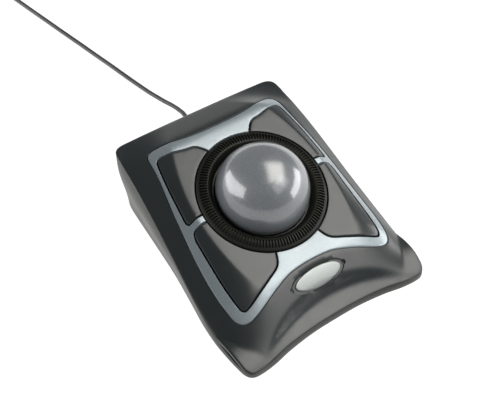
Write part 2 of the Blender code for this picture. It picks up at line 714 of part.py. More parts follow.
def make_encoder_crown():
    """A thin toothed ring under the scroll ring; its teeth pass through the ring encoder."""
    teeth, r_in, r_out = 30, 36.5, 38.0
    levels = (-3.3, -4.4, -7.0)
    matrix = ring_matrix()
    points, faces = [], []
    for k in range(2 * teeth):
        a = tau * k / (2 * teeth)
        for r in (r_in, r_out):
            points += [matrix @ Vector((r * cos(a), r * sin(a), h)) for h in levels]
    for k in range(2 * teeth):
        a, b = 6 * k, 6 * ((k + 1) % (2 * teeth))
        low = 2 if k % 2 == 0 else 1
        faces.append((a, b, b + 3, a + 3))
        faces.append((a + low, a + 3 + low, b + 3 + low, b + low))
        for level in range(low):
            faces.append((a + level, a + level + 1, b + level + 1, b + level))
            faces.append((a + 3 + level, b + 3 + level, b + 4 + level, a + 4 + level))
        faces.append((a + 1, a + 2, a + 5, a + 4))
    return add_piece("encoder_crown", points, faces, CHIP, RING_CENTRE, smooth=False)


def make_ring_track():
    profile = [(32.6, -8.1), (34.2, -8.1), (34.2, -3.5), (35.5, -3.5), (35.5, -2.1), (31.3, -2.1),
               (31.3, -3.5), (32.6, -3.5)]
    return add_piece("ring_track", *turned_solid(profile, 36, ring_matrix()), ACETAL)


def make_ball_socket():
    """A cup around the lower half of the ball, with a flange that screws down on the carrier."""
    top = -3.6
    lift = BALL_RISE

    def arc(radius, start, end, steps):
        return [(radius * sin(a), lift - radius * cos(a))
                for a in (start + (end - start) * k / steps for k in range(steps + 1))]

    def angle_at_height(radius, h):
        return pi / 2 - atan2((h - lift) * -1.0, sqrt(radius ** 2 - (h - lift) ** 2))

    flange_top, flange_low = -8.4, CARRIER_TOP + AIR
    first = atan2(SENSOR_HOLE, sqrt(SOCKET_INNER ** 2 - SENSOR_HOLE ** 2))
    last = angle_at_height(SOCKET_INNER, top)
    inner = arc(SOCKET_INNER, first, last, 6)
    outer_high = angle_at_height(SOCKET_OUTER, flange_top)
    outer_low = angle_at_height(SOCKET_OUTER, flange_low)
    first_out = atan2(SENSOR_HOLE, sqrt(SOCKET_OUTER ** 2 - SENSOR_HOLE ** 2))
    profile = inner + arc(SOCKET_OUTER, angle_at_height(SOCKET_OUTER, top), outer_high, 1)
    profile += [(45.0, flange_top), (45.0, flange_low)]
    profile += arc(SOCKET_OUTER, outer_low, first_out, 5)
    socket = add_piece("ball_socket", *turned_solid(profile, 32, ring_matrix()), PLASTIC)
    for k, angle in enumerate(SOCKET_SCREWS):
        x, v = along(angle, SOCKET_SCREW_RADIUS)
        combine(socket, *rod(ring_point(x, v, -12), ring_point(x, v, -6), 1.5, 10), "DIFFERENCE", f"hole_{k}")
    for k, name in enumerate(BEARINGS):
        centre, outward = bearing_place(k)
        combine(socket, *rod(centre - outward * 4, centre + outward * 4, BEARING_RADIUS + 0.35, 12),
                "DIFFERENCE", f"seat_{k}")
    for name, angle in BUTTONS.items():
        for k, side in enumerate(POST_PLACES):
            x, v = along(angle, HINGE_RADIUS + 0.3, side)
            notch = rectangle((x, v), (6.4, 4.4), radians(angle))
            combine(socket, *prism(notch, -12.0, -6.0, ring_point), "DIFFERENCE", f"{name}_notch_{k}")
    combine(socket, *prism(rectangle((0.0, 40.6), (9.0, 13.0)), -12.0, -6.0, ring_point),
            "DIFFERENCE", "encoder_window")
    return socket


def bearing_place(index):
    """Centre of a bearing ball and the direction outwards from the ball's centre."""
    a = radians(90.0 + 120.0 * index)
    spread = sin(BEARING_ANGLE)
    outward = Vector((spread * cos(a), spread * sin(a), -cos(BEARING_ANGLE)))
    outward = Matrix.Rotation(TILT, 3, "X") @ outward
    return ball_centre() + outward * (BALL_RADIUS + AIR + BEARING_RADIUS), outward


def sphere(radius, rows, columns, matrix):
    profile = [(radius * sin(pi * k / rows), radius * cos(pi * k / rows)) for k in range(rows + 1)]
    profile[0], profile[-1] = (0.0, radius), (0.0, -radius)
    return turned_solid(profile, columns, matrix)


def make_ball_and_bearings():
    add_piece("trackball", *sphere(BALL_RADIUS, 18, 30, Matrix.Translation(ball_centre())),
              ((0.22, 0.22, 0.235), 0.12), ball_centre())
    for k, name in enumerate(BEARINGS):
        centre, _ = bearing_place(k)
        add_piece(name, *sphere(BEARING_RADIUS, 6, 8, Matrix.Translation(centre)), STEEL)


def make_sensor():
    """The optical sensor under the ball: a clear window in the socket, the chip and its lamp."""
    low = BALL_RISE - SOCKET_OUTER
    window = [(0, low + 0.9), (SENSOR_HOLE - 0.5, low + 0.9), (SENSOR_HOLE - 0.5, low - 0.2),
              (0, low - 0.2)]
    add_piece("sensor_window", *turned_solid(window, 24, ring_matrix()),
              ((0.75, 0.1, 0.08), 0.1, 0.0, 0.5))
    spot = ring_point(0, 0, low)
    base = MAIN_BOARD_TOP + AIR
    add_piece("sensor_chip", *prism(rectangle((spot.x, spot.y - 3.2), (9.0, 7.0)), base, base + 1.0),
              CHIP, smooth=False)
    add_piece("sensor_lamp", *rod((spot.x, spot.y + 3.4, base), (spot.x, spot.y + 3.4, base + 1.0), 1.5, 16),
              ((0.8, 0.1, 0.1), 0.2))


# ---------------------------------------------------------------- boards and small electronics
def make_boards():
    main = add_piece("main_board", *prism(rectangle((0.0, 5.5), (58.0, 62.0)), MAIN_BOARD_TOP - BOARD_WALL,
                                          MAIN_BOARD_TOP), BOARD, smooth=False)
    for k, (x, y) in enumerate(BOARD_SCREWS):
        combine(main, *rod((x, y, 2.0), (x, y, 9.0), 1.4, 10), "DIFFERENCE", f"hole_{k}")
    outline = rounded_rectangle((0.0, 2.0), (97.0, 83.0), 13.5)
    hole = ellipse(32.0, 32.0, 48)
    posts = [ellipse(4.6, 4.6, 12, along(a, SOCKET_SCREW_RADIUS)) for a in SOCKET_SCREWS]

    def keep(x, v):
        return (inside(outline, x, v) and not inside(hole, x, v)
                and not any(inside(p, x, v) for p in posts))

    def top(x, v):
        return UPPER_BOARD_TOP

    def bottom(x, v):
        return UPPER_BOARD_TOP - BOARD_WALL

    add_piece("upper_board", *plan_solid([outline, hole, *posts], keep, top, bottom, 14.0, ring_point),
              BOARD, smooth=False)
    base = MAIN_BOARD_TOP + AIR
    add_piece("controller_chip", *prism(rectangle((-16.0, -12.0), (9.0, 9.0)), base, base + 1.2),
              CHIP, smooth=False)
    add_piece("cable_connector", *prism(rectangle((0.0, 31.5), (11.0, 6.0)), base, base + 5.0),
              ACETAL, smooth=False)
    roof = top_plane(-24.6) + (UPPER_BOARD_TOP - BOARD_WALL - AIR) / cos(TILT)
    add_piece("board_ribbon", *prism(rectangle((15.0, -24.3), (12.0, 0.5)), base, roof),
              ((0.6, 0.6, 0.58), 0.5), smooth=False)


def make_ring_encoder():
    """A U-shaped light gate whose legs stand either side of the crown's teeth."""
    side = [(34.7, -10.3), (40.2, -10.3), (40.2, -4.6), (38.6, -4.6), (38.6, -8.6), (35.9, -8.6),
            (35.9, -4.6), (34.7, -4.6)]
    half = 3.0
    points = [ring_point(-half, v, h) for v, h in side] + [ring_point(half, v, h) for v, h in side]
    count = len(side)
    faces = [tuple(reversed(range(count))), tuple(range(count, 2 * count))]
    faces += [(k, (k + 1) % count, (k + 1) % count + count, k + count) for k in range(count)]
    return add_piece("ring_encoder", points, faces, CHIP, smooth=False)


# ---------------------------------------------------------------- badge, feet and fasteners
def make_badge():
    outline = ellipse(*BADGE_SIZE, 40, (0.0, BADGE_CENTRE_Y))

    def keep(x, y):
        return inside(outline, x, y)

    def top(x, y):
        reach = hypot(x / BADGE_SIZE[0], (y - BADGE_CENTRE_Y) / BADGE_SIZE[1])
        return top_height(x, y) + 0.25 - 0.3 * reach ** 2

    def bottom(x, y):
        return top_height(x, y) - RECESS_DEPTH + AIR

    return add_piece("badge", *plan_solid([outline], keep, top, bottom, 3.0), SILVER)


def make_feet():
    for k, place in enumerate(FEET):
        pad = rounded_rectangle(place, (20.0, 7.0), 3.4)
        add_piece(f"foot_{k + 1}", *prism(pad, 0.0, CASE_FOOT - AIR), RUBBER)


def screw(start, direction, head_radius, head_height, shank_radius, length):
    """Points and faces of a pan-head screw; start is the outer face of its head."""
    profile = [(0, 0), (head_radius * 0.75, 0), (head_radius, head_height * 0.4), (head_radius, head_height),
               (shank_radius, head_height), (shank_radius, length - 1.0), (0, length)]
    turn = Vector(direction).to_track_quat("Z", "Y").to_matrix().to_4x4()
    return turned_solid(profile, 14, Matrix.Translation(Vector(start)) @ turn)


def make_screws():
    for k, (x, y) in enumerate(CASE_SCREWS):
        add_piece(f"case_screw_{k + 1}", *screw((x, y, 1.1), (0, 0, 1), 2.6, 1.9, 1.15, screw_tip(x, y) - 1.1),
                  STEEL)
    down = ring_point(0, 0, -1) - ring_point(0, 0, 0)
    for k, angle in enumerate(SOCKET_SCREWS):
        head = ring_point(*along(angle, SOCKET_SCREW_RADIUS), -8.4 + AIR + 1.5)
        add_piece(f"socket_screw_{k + 1}", *screw(head, down, 2.5, 1.5, 1.0, 12.5), STEEL)
    for k, (x, y) in enumerate(BOARD_SCREWS):
        head = MAIN_BOARD_TOP + AIR + 1.2
        add_piece(f"board_screw_{k + 1}", *screw((x, y, head), (0, 0, -1), 2.2, 1.2, 0.7, 5.0), STEEL)


# ---------------------------------------------------------------- lead, coil and plug
def make_tube(name, route, radius, spacing, look):
    """A cord along a smooth curve through its route, as a bevelled curve with closed ends."""
    fine = spline(route, 24, closed=False)
    lengths = [0.0]
    for a, b in zip(fine, fine[1:]):
        lengths.append(lengths[-1] + (b - a).length)
    count = max(int(round(lengths[-1] / spacing)), 2)
    points, at = [], 0
    for k in range(count + 1):
        target = lengths[-1] * k / count
        while at < len(fine) - 2 and lengths[at + 1] < target:
            at += 1
        t = (target - lengths[at]) / (lengths[at + 1] - lengths[at])
        points.append(fine[at].lerp(fine[at + 1], t))
    curve = bpy.data.curves.new(name, "CURVE")
    curve.dimensions = "3D"
    curve.bevel_depth = radius * MM
    curve.bevel_resolution = 2
    curve.use_fill_caps = True
    line = curve.splines.new("POLY")
    line.points.add(len(points) - 1)
    for point, p in zip(line.points, points):
        point.co = (*(p * MM), 1.0)
    obj = bpy.data.objects.new(name, curve)
    curve.materials.append(finish_look(name, *look))
    bpy.context.scene.collection.objects.link(obj)
    return obj


def make_lead():
    y_axis = Matrix.Rotation(-pi / 2, 4, "X")
    place = Matrix.Translation((0, 0, EXIT_HEIGHT)) @ y_axis
    relief = [(0, 60.5), (4.6, 60.5), (4.6, 62.3), (3.1, 62.3), (3.1, 69.2), (3.3, 69.6), (3.3, 71.0),
              (2.9, 73.0), (2.3, RELIEF_END), (0, RELIEF_END)]
    add_piece("strain_relief", *turned_solid(relief, 20, place), RUBBER)
    make_tube("inner_cable", [(0, 34.9, 9.0), (0, 39, 9.2), (0.5, 46, 12.0), (0.3, 53, 17.0),
                              (0, 57.5, 18.8), (0, 60.2, EXIT_HEIGHT)], 1.3, 4.0, RUBBER)
    make_tube("cable_lead", LEAD_ROUTE, CORD_RADIUS, 6.0, RUBBER)
    make_tube("cable_tail", TAIL_ROUTE, CORD_RADIUS, 6.0, RUBBER)
    low, high, bevel = 0.05, COIL_HEIGHT, 2.2
    near, far = COIL_MIDDLE - COIL_HALF, COIL_MIDDLE + COIL_HALF
    coil = [(near, low + bevel), (near + bevel, low), (far - bevel, low), (far, low + bevel),
            (far, high - bevel), (far - bevel, high), (near + bevel, high), (near, high - bevel)]
    middle = Matrix.Translation((*COIL_CENTRE, 0))
    add_piece("cable_coil", *turned_solid(coil, 30, middle), RUBBER)


def make_coil_tie():
    """A soft strap over the coil, open below so that the coil still lies on the desk."""
    x0, y0 = COIL_CENTRE
    wall, width = 1.0, 4.0
    near = sqrt((COIL_MIDDLE - COIL_HALF) ** 2 - width ** 2) - AIR
    far, top = COIL_MIDDLE + COIL_HALF + AIR, COIL_HEIGHT + AIR
    section = [(near - wall, 0.2), (near - wall, top + wall), (far + wall, top + wall), (far + wall, 0.2),
               (far, 0.2), (far, top), (near, top), (near, 0.2)]
    points = [(x0 + r, y0 + end, z) for end in (-width, width) for r, z in section]
    count = len(section)
    faces = [tuple(reversed(range(count))), tuple(range(count, 2 * count))]
    faces += [(k, (k + 1) % count, (k + 1) % count + count, k + count) for k in range(count)]
    return add_piece("coil_tie", points, faces, RUBBER, smooth=False)


def make_plug():
    """A USB-A plug lying beside the coil: grip, metal shell and the contact tongue in it."""
    x, y = PLUG_START

    def section(width, height, radius):
        return rounded_rectangle((0.0, 0.0), (width, height), radius, 2)

    def place_at(px, pz, py):
        return Vector((x - px, y - py, PLUG_HEIGHT + pz))

    add_piece("usb_plug_grip", *prism(section(15.6, 8.4, 2.2), 0.0, 26.0, place_at), RUBBER)
    shell = add_piece("usb_plug_shell", *prism(section(12.0, 4.5, 0.4), 26.3, 45.0, place_at), STEEL)
    combine(shell, *prism(section(11.2, 3.7, 0.2), 27.0, 50.0, place_at), "DIFFERENCE", "mouth")
    tongue = rectangle((0.0, 0.55), (10.4, 1.8))
    add_piece("usb_plug_tongue", *prism(tongue, 27.4, 43.5, place_at), ((0.9, 0.9, 0.88), 0.4), smooth=False)


# ---------------------------------------------------------------- the whole object
def build():
    clear_scene()
    make_bottom_case()
    make_top_cover()
    make_bezel()
    for name, angle in BUTTONS.items():
        make_button(name, angle)
        make_hinge_pin(name.replace("button_", "hinge_pin_"), angle)
    make_carrier()
    make_switches()
    make_scroll_ring()
    make_encoder_crown()
    make_ring_track()
    make_ball_socket()
    make_ball_and_bearings()
    make_sensor()
    make_boards()
    make_ring_encoder()
    make_badge()
    make_feet()
    make_screws()
    make_lead()
    make_coil_tie()
    make_plug()


build()
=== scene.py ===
"""Looks of the desktop trackball mouse: fine shells, buttons, knurled ring, ball, badge and wound lead
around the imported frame, on a pale floor under soft studio light.

Sizes are in millimetres in the frame's own axes and MM turns them into metres. Front is -Y, right is +X
and the desk is z = 0."""
import json
from math import atan2, cos, degrees, pi, radians, sin, sqrt, tau

import bmesh
import bpy
import numpy as np
from mathutils import Matrix, Vector
from mathutils.geometry import delaunay_2d_cdt


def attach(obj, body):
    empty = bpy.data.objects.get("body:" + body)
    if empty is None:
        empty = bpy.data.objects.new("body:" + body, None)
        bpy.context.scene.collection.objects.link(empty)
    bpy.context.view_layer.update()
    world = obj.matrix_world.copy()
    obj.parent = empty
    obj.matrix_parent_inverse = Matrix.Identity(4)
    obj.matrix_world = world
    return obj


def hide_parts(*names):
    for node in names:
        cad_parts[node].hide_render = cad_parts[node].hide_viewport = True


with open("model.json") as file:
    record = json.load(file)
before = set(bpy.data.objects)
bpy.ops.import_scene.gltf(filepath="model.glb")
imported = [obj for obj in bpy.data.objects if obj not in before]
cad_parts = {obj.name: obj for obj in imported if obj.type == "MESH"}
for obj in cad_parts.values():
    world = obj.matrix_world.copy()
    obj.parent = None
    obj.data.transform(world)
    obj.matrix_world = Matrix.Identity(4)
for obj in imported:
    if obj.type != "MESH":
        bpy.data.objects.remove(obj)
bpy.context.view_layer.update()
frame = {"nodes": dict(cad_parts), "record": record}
MM = 0.001

# ---------------------------------------------------------------- sizes shared with the frame
BALL_RADIUS = 27.5
RING_RADIUS = 38.5
RING_CENTRE = Vector((0.0, 3.8, 38.4))
TILT = radians(14.57)
BALL_RISE = 0.66
AIR = 0.3
SLOT_WIDTH = 0.9
RING_GAP = 0.65
COVER_WALL = 2.4
COVER_EDGE = 0.6
LEDGE_DROP = 2.9
LEDGE_WALL = 1.4
LEDGE_WIDTH = 2.4
REBATE_TOP = 0.35
REBATE_FOOT = 0.1
REBATE_FADE = 3.0                     # outside the silver's edge, where the cover starts to thicken
REBATE_FULL = 0.6                     # outside it, where the cover is at its thickest
APRON_FOOT, APRON_FLAT, APRON_STEEP = 5.6, 0.42, 2.4
APRON_BAND, APRON_REACH = 11.5, 65.4
CASE_FOOT = 1.0
FLOOR_TOP = 3.0
CASE_WALL = 2.2
CASE_BELT = 1.9
BEZEL_WALL = 2.2
BUTTON_WALL = 2.0
HINGE_RADIUS = 41.0
HINGE_DEPTH = -3.8
PIN_HOLE = 1.05
BORE_HALF = 9.0
KNUCKLE_SIZE = (3.8, 2.2)
KNUCKLE_BELOW = 2.0                   # from the pin down to the knuckle's end
PLATE_INSIDE = -1.4                   # a height within the button's plate
PUSHER_RADIUS = 1.5
SWITCH_RADIUS = 50.0
PLUNGER_TOP = -4.1
CARRIER_TOP, CARRIER_WALL = -10.7, 1.4
MAIN_BOARD_TOP, BOARD_WALL = 6.3, 1.6
KNUCKLE_PLACES = (-6.0, 6.0)
BUTTONS = {"button_front_right": -41.0, "button_front_left": -139.0,
           "button_rear_right": 42.0, "button_rear_left": 138.0}
SOCKET_SCREWS = (0.0, 180.0, 270.0)
SOCKET_SCREW_RADIUS = 41.5
CASE_POST_RADIUS, CASE_POST_TOP = 4.4, 6.0
SOCKET_POST_RADIUS, SOCKET_HOLE_RADIUS = 3.4, 1.35
BOARD_POST_RADIUS, BOARD_HOLE_RADIUS = 3.0, 1.0
POST_ROOT = 1.0                       # how far the posts go down into the case's floor
HEAD_RADIUS, HEAD_DEPTH = 3.0, 3.3    # the case screws' counterbore
HOLE_RADIUS, HOLE_TOP = 1.55, 8.0
CASE_SCREWS = ((50.0, -58.0), (-50.0, -58.0), (48.0, 58.6), (-48.0, 58.6))
BOARD_SCREWS = ((24.0, -22.0), (-24.0, 31.0))
FEET = ((40.0, -67.5), (-40.0, -67.5), (34.0, 59.0), (-34.0, 59.0))
FOOT_SIZE, FOOT_CORNER = (20.0, 7.0), 3.4
EXIT_HEIGHT = 19.0
EXIT_FROM, EXIT_TO, EXIT_RADIUS = 58.0, 76.0, 3.5
RELIEF_END = 81.2

# lead
CORD_RADIUS = 1.5
COIL_CENTRE = Vector((-14.0, 304.0))
COIL_MIDDLE = 17.0
COIL_HALF = 7.6
COIL_HEIGHT = 12.4
COIL_LAYERS = 4
COIL_TURNS = 14                       # whole turns between the place where the lead comes in and its tail
LAYER_STEP = 3.05
TURN_GAP = 0.1                        # under the first layer, and beside the last turn
LEAD_SPACING = 1.4
PLUG_START = (22.0, 306.0)
PLUG_HEIGHT = 4.25
PLUG_OUTSIDE, PLUG_INSIDE, PLUG_WINDOW = (12.0, 4.5), (11.2, 3.7), (2.3, 2.3)

# fine surface
SHARP = 32.0                          # degrees between two faces
GRID = 1.7
KNEE_SOFT = 0.55
KNEE_OFFSETS = (-1.8, -0.9, -0.3, 0.3, 0.9, 1.8)
EDGE_STEPS = (0.0, 0.08, 0.29, 0.62, 1.0)
RIM_EDGE = (1.2, 0.55)                # width and drop of each rounded edge
REBATE_EDGE = (0.4, 0.35)
BEZEL_OUTER_EDGE = (0.7, 0.55)
BEZEL_EDGE = (0.4, 0.35)
BUTTON_EDGE = (0.75, 0.6)
RIBS = 124
RIB_SAMPLES = 8
RIB_DEPTH = 1.3

# ---------------------------------------------------------------- outlines
SILVER_HALF = [(0, -43.7), (14, -44.7), (26, -48.2), (37, -52.2), (44.5, -54.2), (48.6, -54.2),
               (51.4, -52.9), (53.4, -50.2), (54.4, -46.5), (55.1, -38), (55.1, -28), (54.6, -18),
               (53.7, -7), (52.2, 6), (50.6, 19), (48.9, 29.5), (47.4, 38.5), (46.3, 47.5),
               (45.8, 53), (44.4, 57), (41, 58.4), (36, 57.2), (28, 54.6), (16, 52.6), (0, 52)]
EDGE_HALF = [((0, -71.3), (0, -72.3)), ((17, -71.8), (17, -72.7)), ((33, -73.4), (33.5, -74.6)),
             ((45, -75.6), (45, -76.9)), ((54.5, -77.1), (54.5, -77.8)), ((59.7, -76.7), (60, -77)),
             ((62.6, -73.8), (63, -73.5)), ((63.7, -68.5), (64.3, -67)), ((64.5, -60), (65.2, -59)),
             ((65, -47), (65.8, -48)), ((64.8, -33), (65.1, -34)), ((63.8, -17), (63, -17)),
             ((62.2, 2), (60.9, 2)), ((60.9, 20), (59.8, 20)), ((59.7, 38), (59, 36)),
             ((58.6, 55), (58.2, 52.5)), ((57.8, 67), (57.4, 61)), ((56.7, 74.2), (55.8, 65)),
             ((52.3, 77.4), (51, 66.8)), ((43, 77.8), (42, 67)), ((22, 77.8), (22, 67)),
             ((0, 77.8), (0, 67))]
FRONT_SLOT = [(36.0, 2.2), (43.8, 2.3), (47.3, 2.0), (48.7, -1.5), (49.0, -8), (49.3, -18.5),
              (49.6, -30), (49.4, -40), (48.9, -45.8), (47.6, -48.5), (44.7, -48.9), (36.8, -46.4),
              (27, -42.4), (18.3, -38.0), (14.3, -30.6), (13.4, -28.6)]
REAR_SLOT = [(12.8, 37.2), (14.1, 38.8), (19.6, 44.7), (27, 46.2), (35.2, 48.2), (40.6, 50.0),
             (42.6, 49.2), (43.7, 46.5), (45.1, 38.5), (46.5, 28.5), (47.5, 18.8), (48.3, 10.4),
             (47.7, 7.4), (45.6, 6.7), (36.0, 6.9)]
RIM_WIDTHS = [(-78, 61.2), (-74, 62.6), (-68.5, 63.7), (-60, 64.5), (-47, 65), (-33, 64.8), (-17, 63.8),
              (2, 62.2), (20, 60.9), (38, 59.7), (55, 58.6), (67, 57.8), (78, 56)]
BADGE_CENTRE_Y = -52.6
RECESS_EDGE = (18.0, 5.9)
RECESS_DEPTH = 1.1
RECESS_WALL = 0.6
BADGE_SIZE = (15.4, 4.5)
RECESS_STEPS = (-0.15, 0.0, 0.15, 0.3, 0.45)
DIMPLE_X = 18.0
DIMPLE_RADIUS = 1.3
DIMPLE_DEPTH = 1.6
BADGE_EDGE = (0.55, 0.45)
BADGE_RISE = 0.25                     # its middle above the cover's surface
BADGE_CROWN = 0.3

# The lead's route from the strain relief to the coil, and from the coil to the plug.
LEAD_ROUTE = [(0.0, 81.6, 19.0), (0.1, 83.6, 19.0), (1.0, 87.0, 18.7), (2.6, 91.0, 17.9), (4.1, 95.7, 16.7),
              (5.1, 100.7, 15.0), (5.5, 106.0, 13.0), (5.6, 111.6, 10.9), (5.3, 117.5, 8.7),
              (4.7, 123.5, 6.5), (3.6, 131.5, 4.4), (2.1, 139.7, 2.9), (0.1, 149.5, 2.0),
              (-2.3, 159.6, 1.8), (-7.0, 179.5, 1.8), (-10.8, 194.7, 1.8), (-14.4, 209.5, 1.8),
              (-19.9, 231.4, 1.8), (-24.2, 249.0, 1.8), (-28.0, 264.3, 1.8), (-31.4, 278.5, 1.8),
              (-33.4, 286.6, 1.8)]
TAIL_ROUTE = [(0.0, 327.3, 1.8), (5.0, 327.0, 2.0), (11.5, 325.2, 2.7), (17.0, 321.2, 3.5),
              (20.8, 315.5, 4.1), (22.0, 310.0, 4.25), (22.0, 306.3, 4.25)]

# ---------------------------------------------------------------- camera
CAMERA_AZIMUTH = radians(-38.106)
CAMERA_ELEVATION = radians(52.037)
CAMERA_ROLL = radians(4.151)
CAMERA_DISTANCE = 506.47
CAMERA_TARGET = Vector((0.0, 0.0, 20.0))
CAMERA_LENS = 61.78
CAMERA_SHIFT = (-0.0295, 0.0077)


def make_camera():
    """The photograph's view: from the front left and above, with a slight roll."""
    a, e = CAMERA_AZIMUTH, CAMERA_ELEVATION
    back = Vector((sin(a) * cos(e), -cos(a) * cos(e), sin(e)))
    across = Vector((cos(a), sin(a), 0.0))
    up = back.cross(across)
    right = across * cos(CAMERA_ROLL) + up * sin(CAMERA_ROLL)
    top = back.cross(right)
    data = bpy.data.cameras.new("camera")
    data.sensor_width = 36.0
    data.lens = CAMERA_LENS
    data.shift_x, data.shift_y = CAMERA_SHIFT
    camera = bpy.data.objects.new("camera", data)
    turn = Matrix((right, top, back)).transposed().to_4x4()
    camera.matrix_world = Matrix.Translation((CAMERA_TARGET + back * CAMERA_DISTANCE) * MM) @ turn
    bpy.context.scene.collection.objects.link(camera)
    bpy.context.scene.camera = camera


# ---------------------------------------------------------------- small mathematics, on arrays
def softplus(value, softness):
    """Zero below nought and rising one for one above it, with a soft bend."""
    return softness * np.log1p(np.exp(np.minimum(value / softness, 60.0)))


def smoothstep(t):
    t = np.clip(t, 0.0, 1.0)
    return t * t * (3.0 - 2.0 * t)


def top_plane(y):
    return RING_CENTRE.z + (y - RING_CENTRE.y) * sin(TILT) / cos(TILT)


def crown(y):
    return top_plane(y) - 0.38 * softplus(-43.5 - y, 1.5) - 0.725 * softplus(y - 52.0, 2.0)


def rim_height(y):
    return 5.2 + 32.8 * smoothstep((y + 64.0) / 138.0)


def part_line(y):
    return rim_height(y) - COVER_EDGE


def knee(y):
    """Half-width of the flat middle of the top."""
    return np.maximum(43.5 - 0.0048 * (y - 2.0) ** 2, 5.0)


def top_height(x, y):
    """The object's upper surface: a flat middle, sides that fall to the rim and a steep front apron."""
    x = np.abs(x)
    inner = knee(y)
    places, widths = zip(*RIM_WIDTHS)
    fall = softplus(x - inner, KNEE_SOFT) / (np.interp(y, places, widths) - inner)
    power = 1.0 + np.where(y < 0, 0.0005, 0.0001) * y * y
    middle = crown(y)
    height = middle - (middle - rim_height(y)) * fall ** power
    from_edge = y + 71.3 + 0.0024 * x * x
    band = APRON_BAND * np.maximum(1.0 - (x / APRON_REACH) ** 2, 0.0)
    apron = APRON_FOOT + APRON_FLAT * from_edge + APRON_STEEP * softplus(from_edge - band, 0.8)
    return height - softplus(height - apron, 1.2)


def ring_point(x, v, h):
    """A point of the ring's own frame, x to the right, v up the slope and h along the ring's normal."""
    return Vector((x, RING_CENTRE.y + v * cos(TILT) - h * sin(TILT),
                   RING_CENTRE.z + v * sin(TILT) + h * cos(TILT)))


def ring_matrix():
    return Matrix.Translation(RING_CENTRE) @ Matrix.Rotation(TILT, 4, "X")


def along(degrees_round, radius, side=0.0):
    """The (x, v) place at a radius and a sideways distance for a direction round the ring."""
    a = radians(degrees_round)
    return radius * cos(a) - side * sin(a), radius * sin(a) + side * cos(a)


# ---------------------------------------------------------------- outline tools
def spline(points, steps, closed=True):
    """Catmull-Rom curve through the points, as an array."""
    p = np.array(points, float)
    if closed:
        p0, p1, p2, p3 = np.roll(p, 1, 0), p, np.roll(p, -1, 0), np.roll(p, -2, 0)
    else:
        full = np.vstack([2 * p[0] - p[1], p, 2 * p[-1] - p[-2]])
        p0, p1, p2, p3 = full[:-3], full[1:-2], full[2:-1], full[3:]
    t = (np.arange(steps) / steps)[None, :, None]
    p0, p1, p2, p3 = (q[:, None, :] for q in (p0, p1, p2, p3))
    out = 0.5 * (2 * p1 + (p2 - p0) * t + (2 * p0 - 5 * p1 + 4 * p2 - p3) * t * t
                 + (3 * p1 - p0 - 3 * p2 + p3) * t ** 3)
    out = out.reshape(-1, p.shape[1])
    return out if closed else np.vstack([out, p[-1]])


def evened(loop, spacing, closed=True):
    """The same line with points at an even distance."""
    line = np.vstack([loop, loop[:1]]) if closed else loop
    lengths = np.concatenate([[0.0], np.cumsum(np.linalg.norm(np.diff(line, axis=0), axis=1))])
    count = max(int(round(lengths[-1] / spacing)), 8)
    places = np.linspace(0.0, lengths[-1], count + 1)
    out = np.stack([np.interp(places, lengths, line[:, k]) for k in range(line.shape[1])], axis=1)
    return out[:-1] if closed else out


def mirrored(half):
    """Full counter-clockwise loop from a half outline that starts and ends on the centre line."""
    return list(half) + [(-x, y) for x, y in reversed(half[1:-1])]


def offset(loop, distance):
    """The loop moved inwards by a distance; outwards when it is negative."""
    a = loop - np.roll(loop, 1, 0)
    b = np.roll(loop, -1, 0) - loop
    a /= np.linalg.norm(a, axis=1)[:, None]
    b /= np.linalg.norm(b, axis=1)[:, None]
    normal = np.stack([-a[:, 1] - b[:, 1], a[:, 0] + b[:, 0]], axis=1)
    normal /= np.linalg.norm(normal, axis=1)[:, None]
    stretch = np.maximum(normal[:, 1] * a[:, 0] - normal[:, 0] * a[:, 1], 0.5)
    return loop + normal * (distance / stretch)[:, None]


def depth_in(loop, x, y):
    """Distance from points to a closed loop, positive inside it."""
    x1, y1 = loop[:, 0][None, :], loop[:, 1][None, :]
    x2, y2 = np.roll(loop[:, 0], -1)[None, :], np.roll(loop[:, 1], -1)[None, :]
    dx, dy = x2 - x1, y2 - y1
    px, py = np.asarray(x, float)[:, None], np.asarray(y, float)[:, None]
    t = np.clip(((px - x1) * dx + (py - y1) * dy) / (dx * dx + dy * dy), 0.0, 1.0)
    distance = np.sqrt(((px - x1 - t * dx) ** 2 + (py - y1 - t * dy) ** 2).min(axis=1))
    step = np.where(dy == 0, 1.0, dy)
    crossing = ((y1 > py) != (y2 > py)) & (px < dx * (py - y1) / step + x1)
    return np.where(crossing.sum(axis=1) % 2 == 1, distance, -distance)


def ellipse(a, b, count, centre):
    t = tau * np.arange(count) / count
    return np.stack([centre[0] + a * np.cos(t), centre[1] + b * np.sin(t)], axis=1)


def ring_shadow(radius):
    """Plan view of a circle about the ring's axis, in the ring's plane."""
    return ellipse(radius, radius * cos(TILT), 240, (0.0, RING_CENTRE.y))


def rounded_rectangle(centre, size, radius, steps):
    out = []
    for k, (px, py) in enumerate([(1, 1), (-1, 1), (-1, -1), (1, -1)]):
        cx = centre[0] + px * (size[0] / 2 - radius)
        cy = centre[1] + py * (size[1] / 2 - radius)
        for j in range(steps + 1):
            a = (k + j / steps) * pi / 2
            out.append((cx + radius * cos(a), cy + radius * sin(a)))
    return np.array(out)


def rectangle(centre, size, turn=0.0):
    c, s = cos(turn), sin(turn)
    corners = [(-1, -1), (1, -1), (1, 1), (-1, 1)]
    return np.array([(centre[0] + c * px * size[0] / 2 - s * py * size[1] / 2,
                      centre[1] + s * px * size[0] / 2 + c * py * size[1] / 2) for px, py in corners])


def knee_line(side, shift):
    """Plan view of a line beside the crease where the flat middle starts to fall."""
    y = np.linspace(-64.0, 70.0, 90)
    return np.stack([side * (knee(y) + shift), y], axis=1)


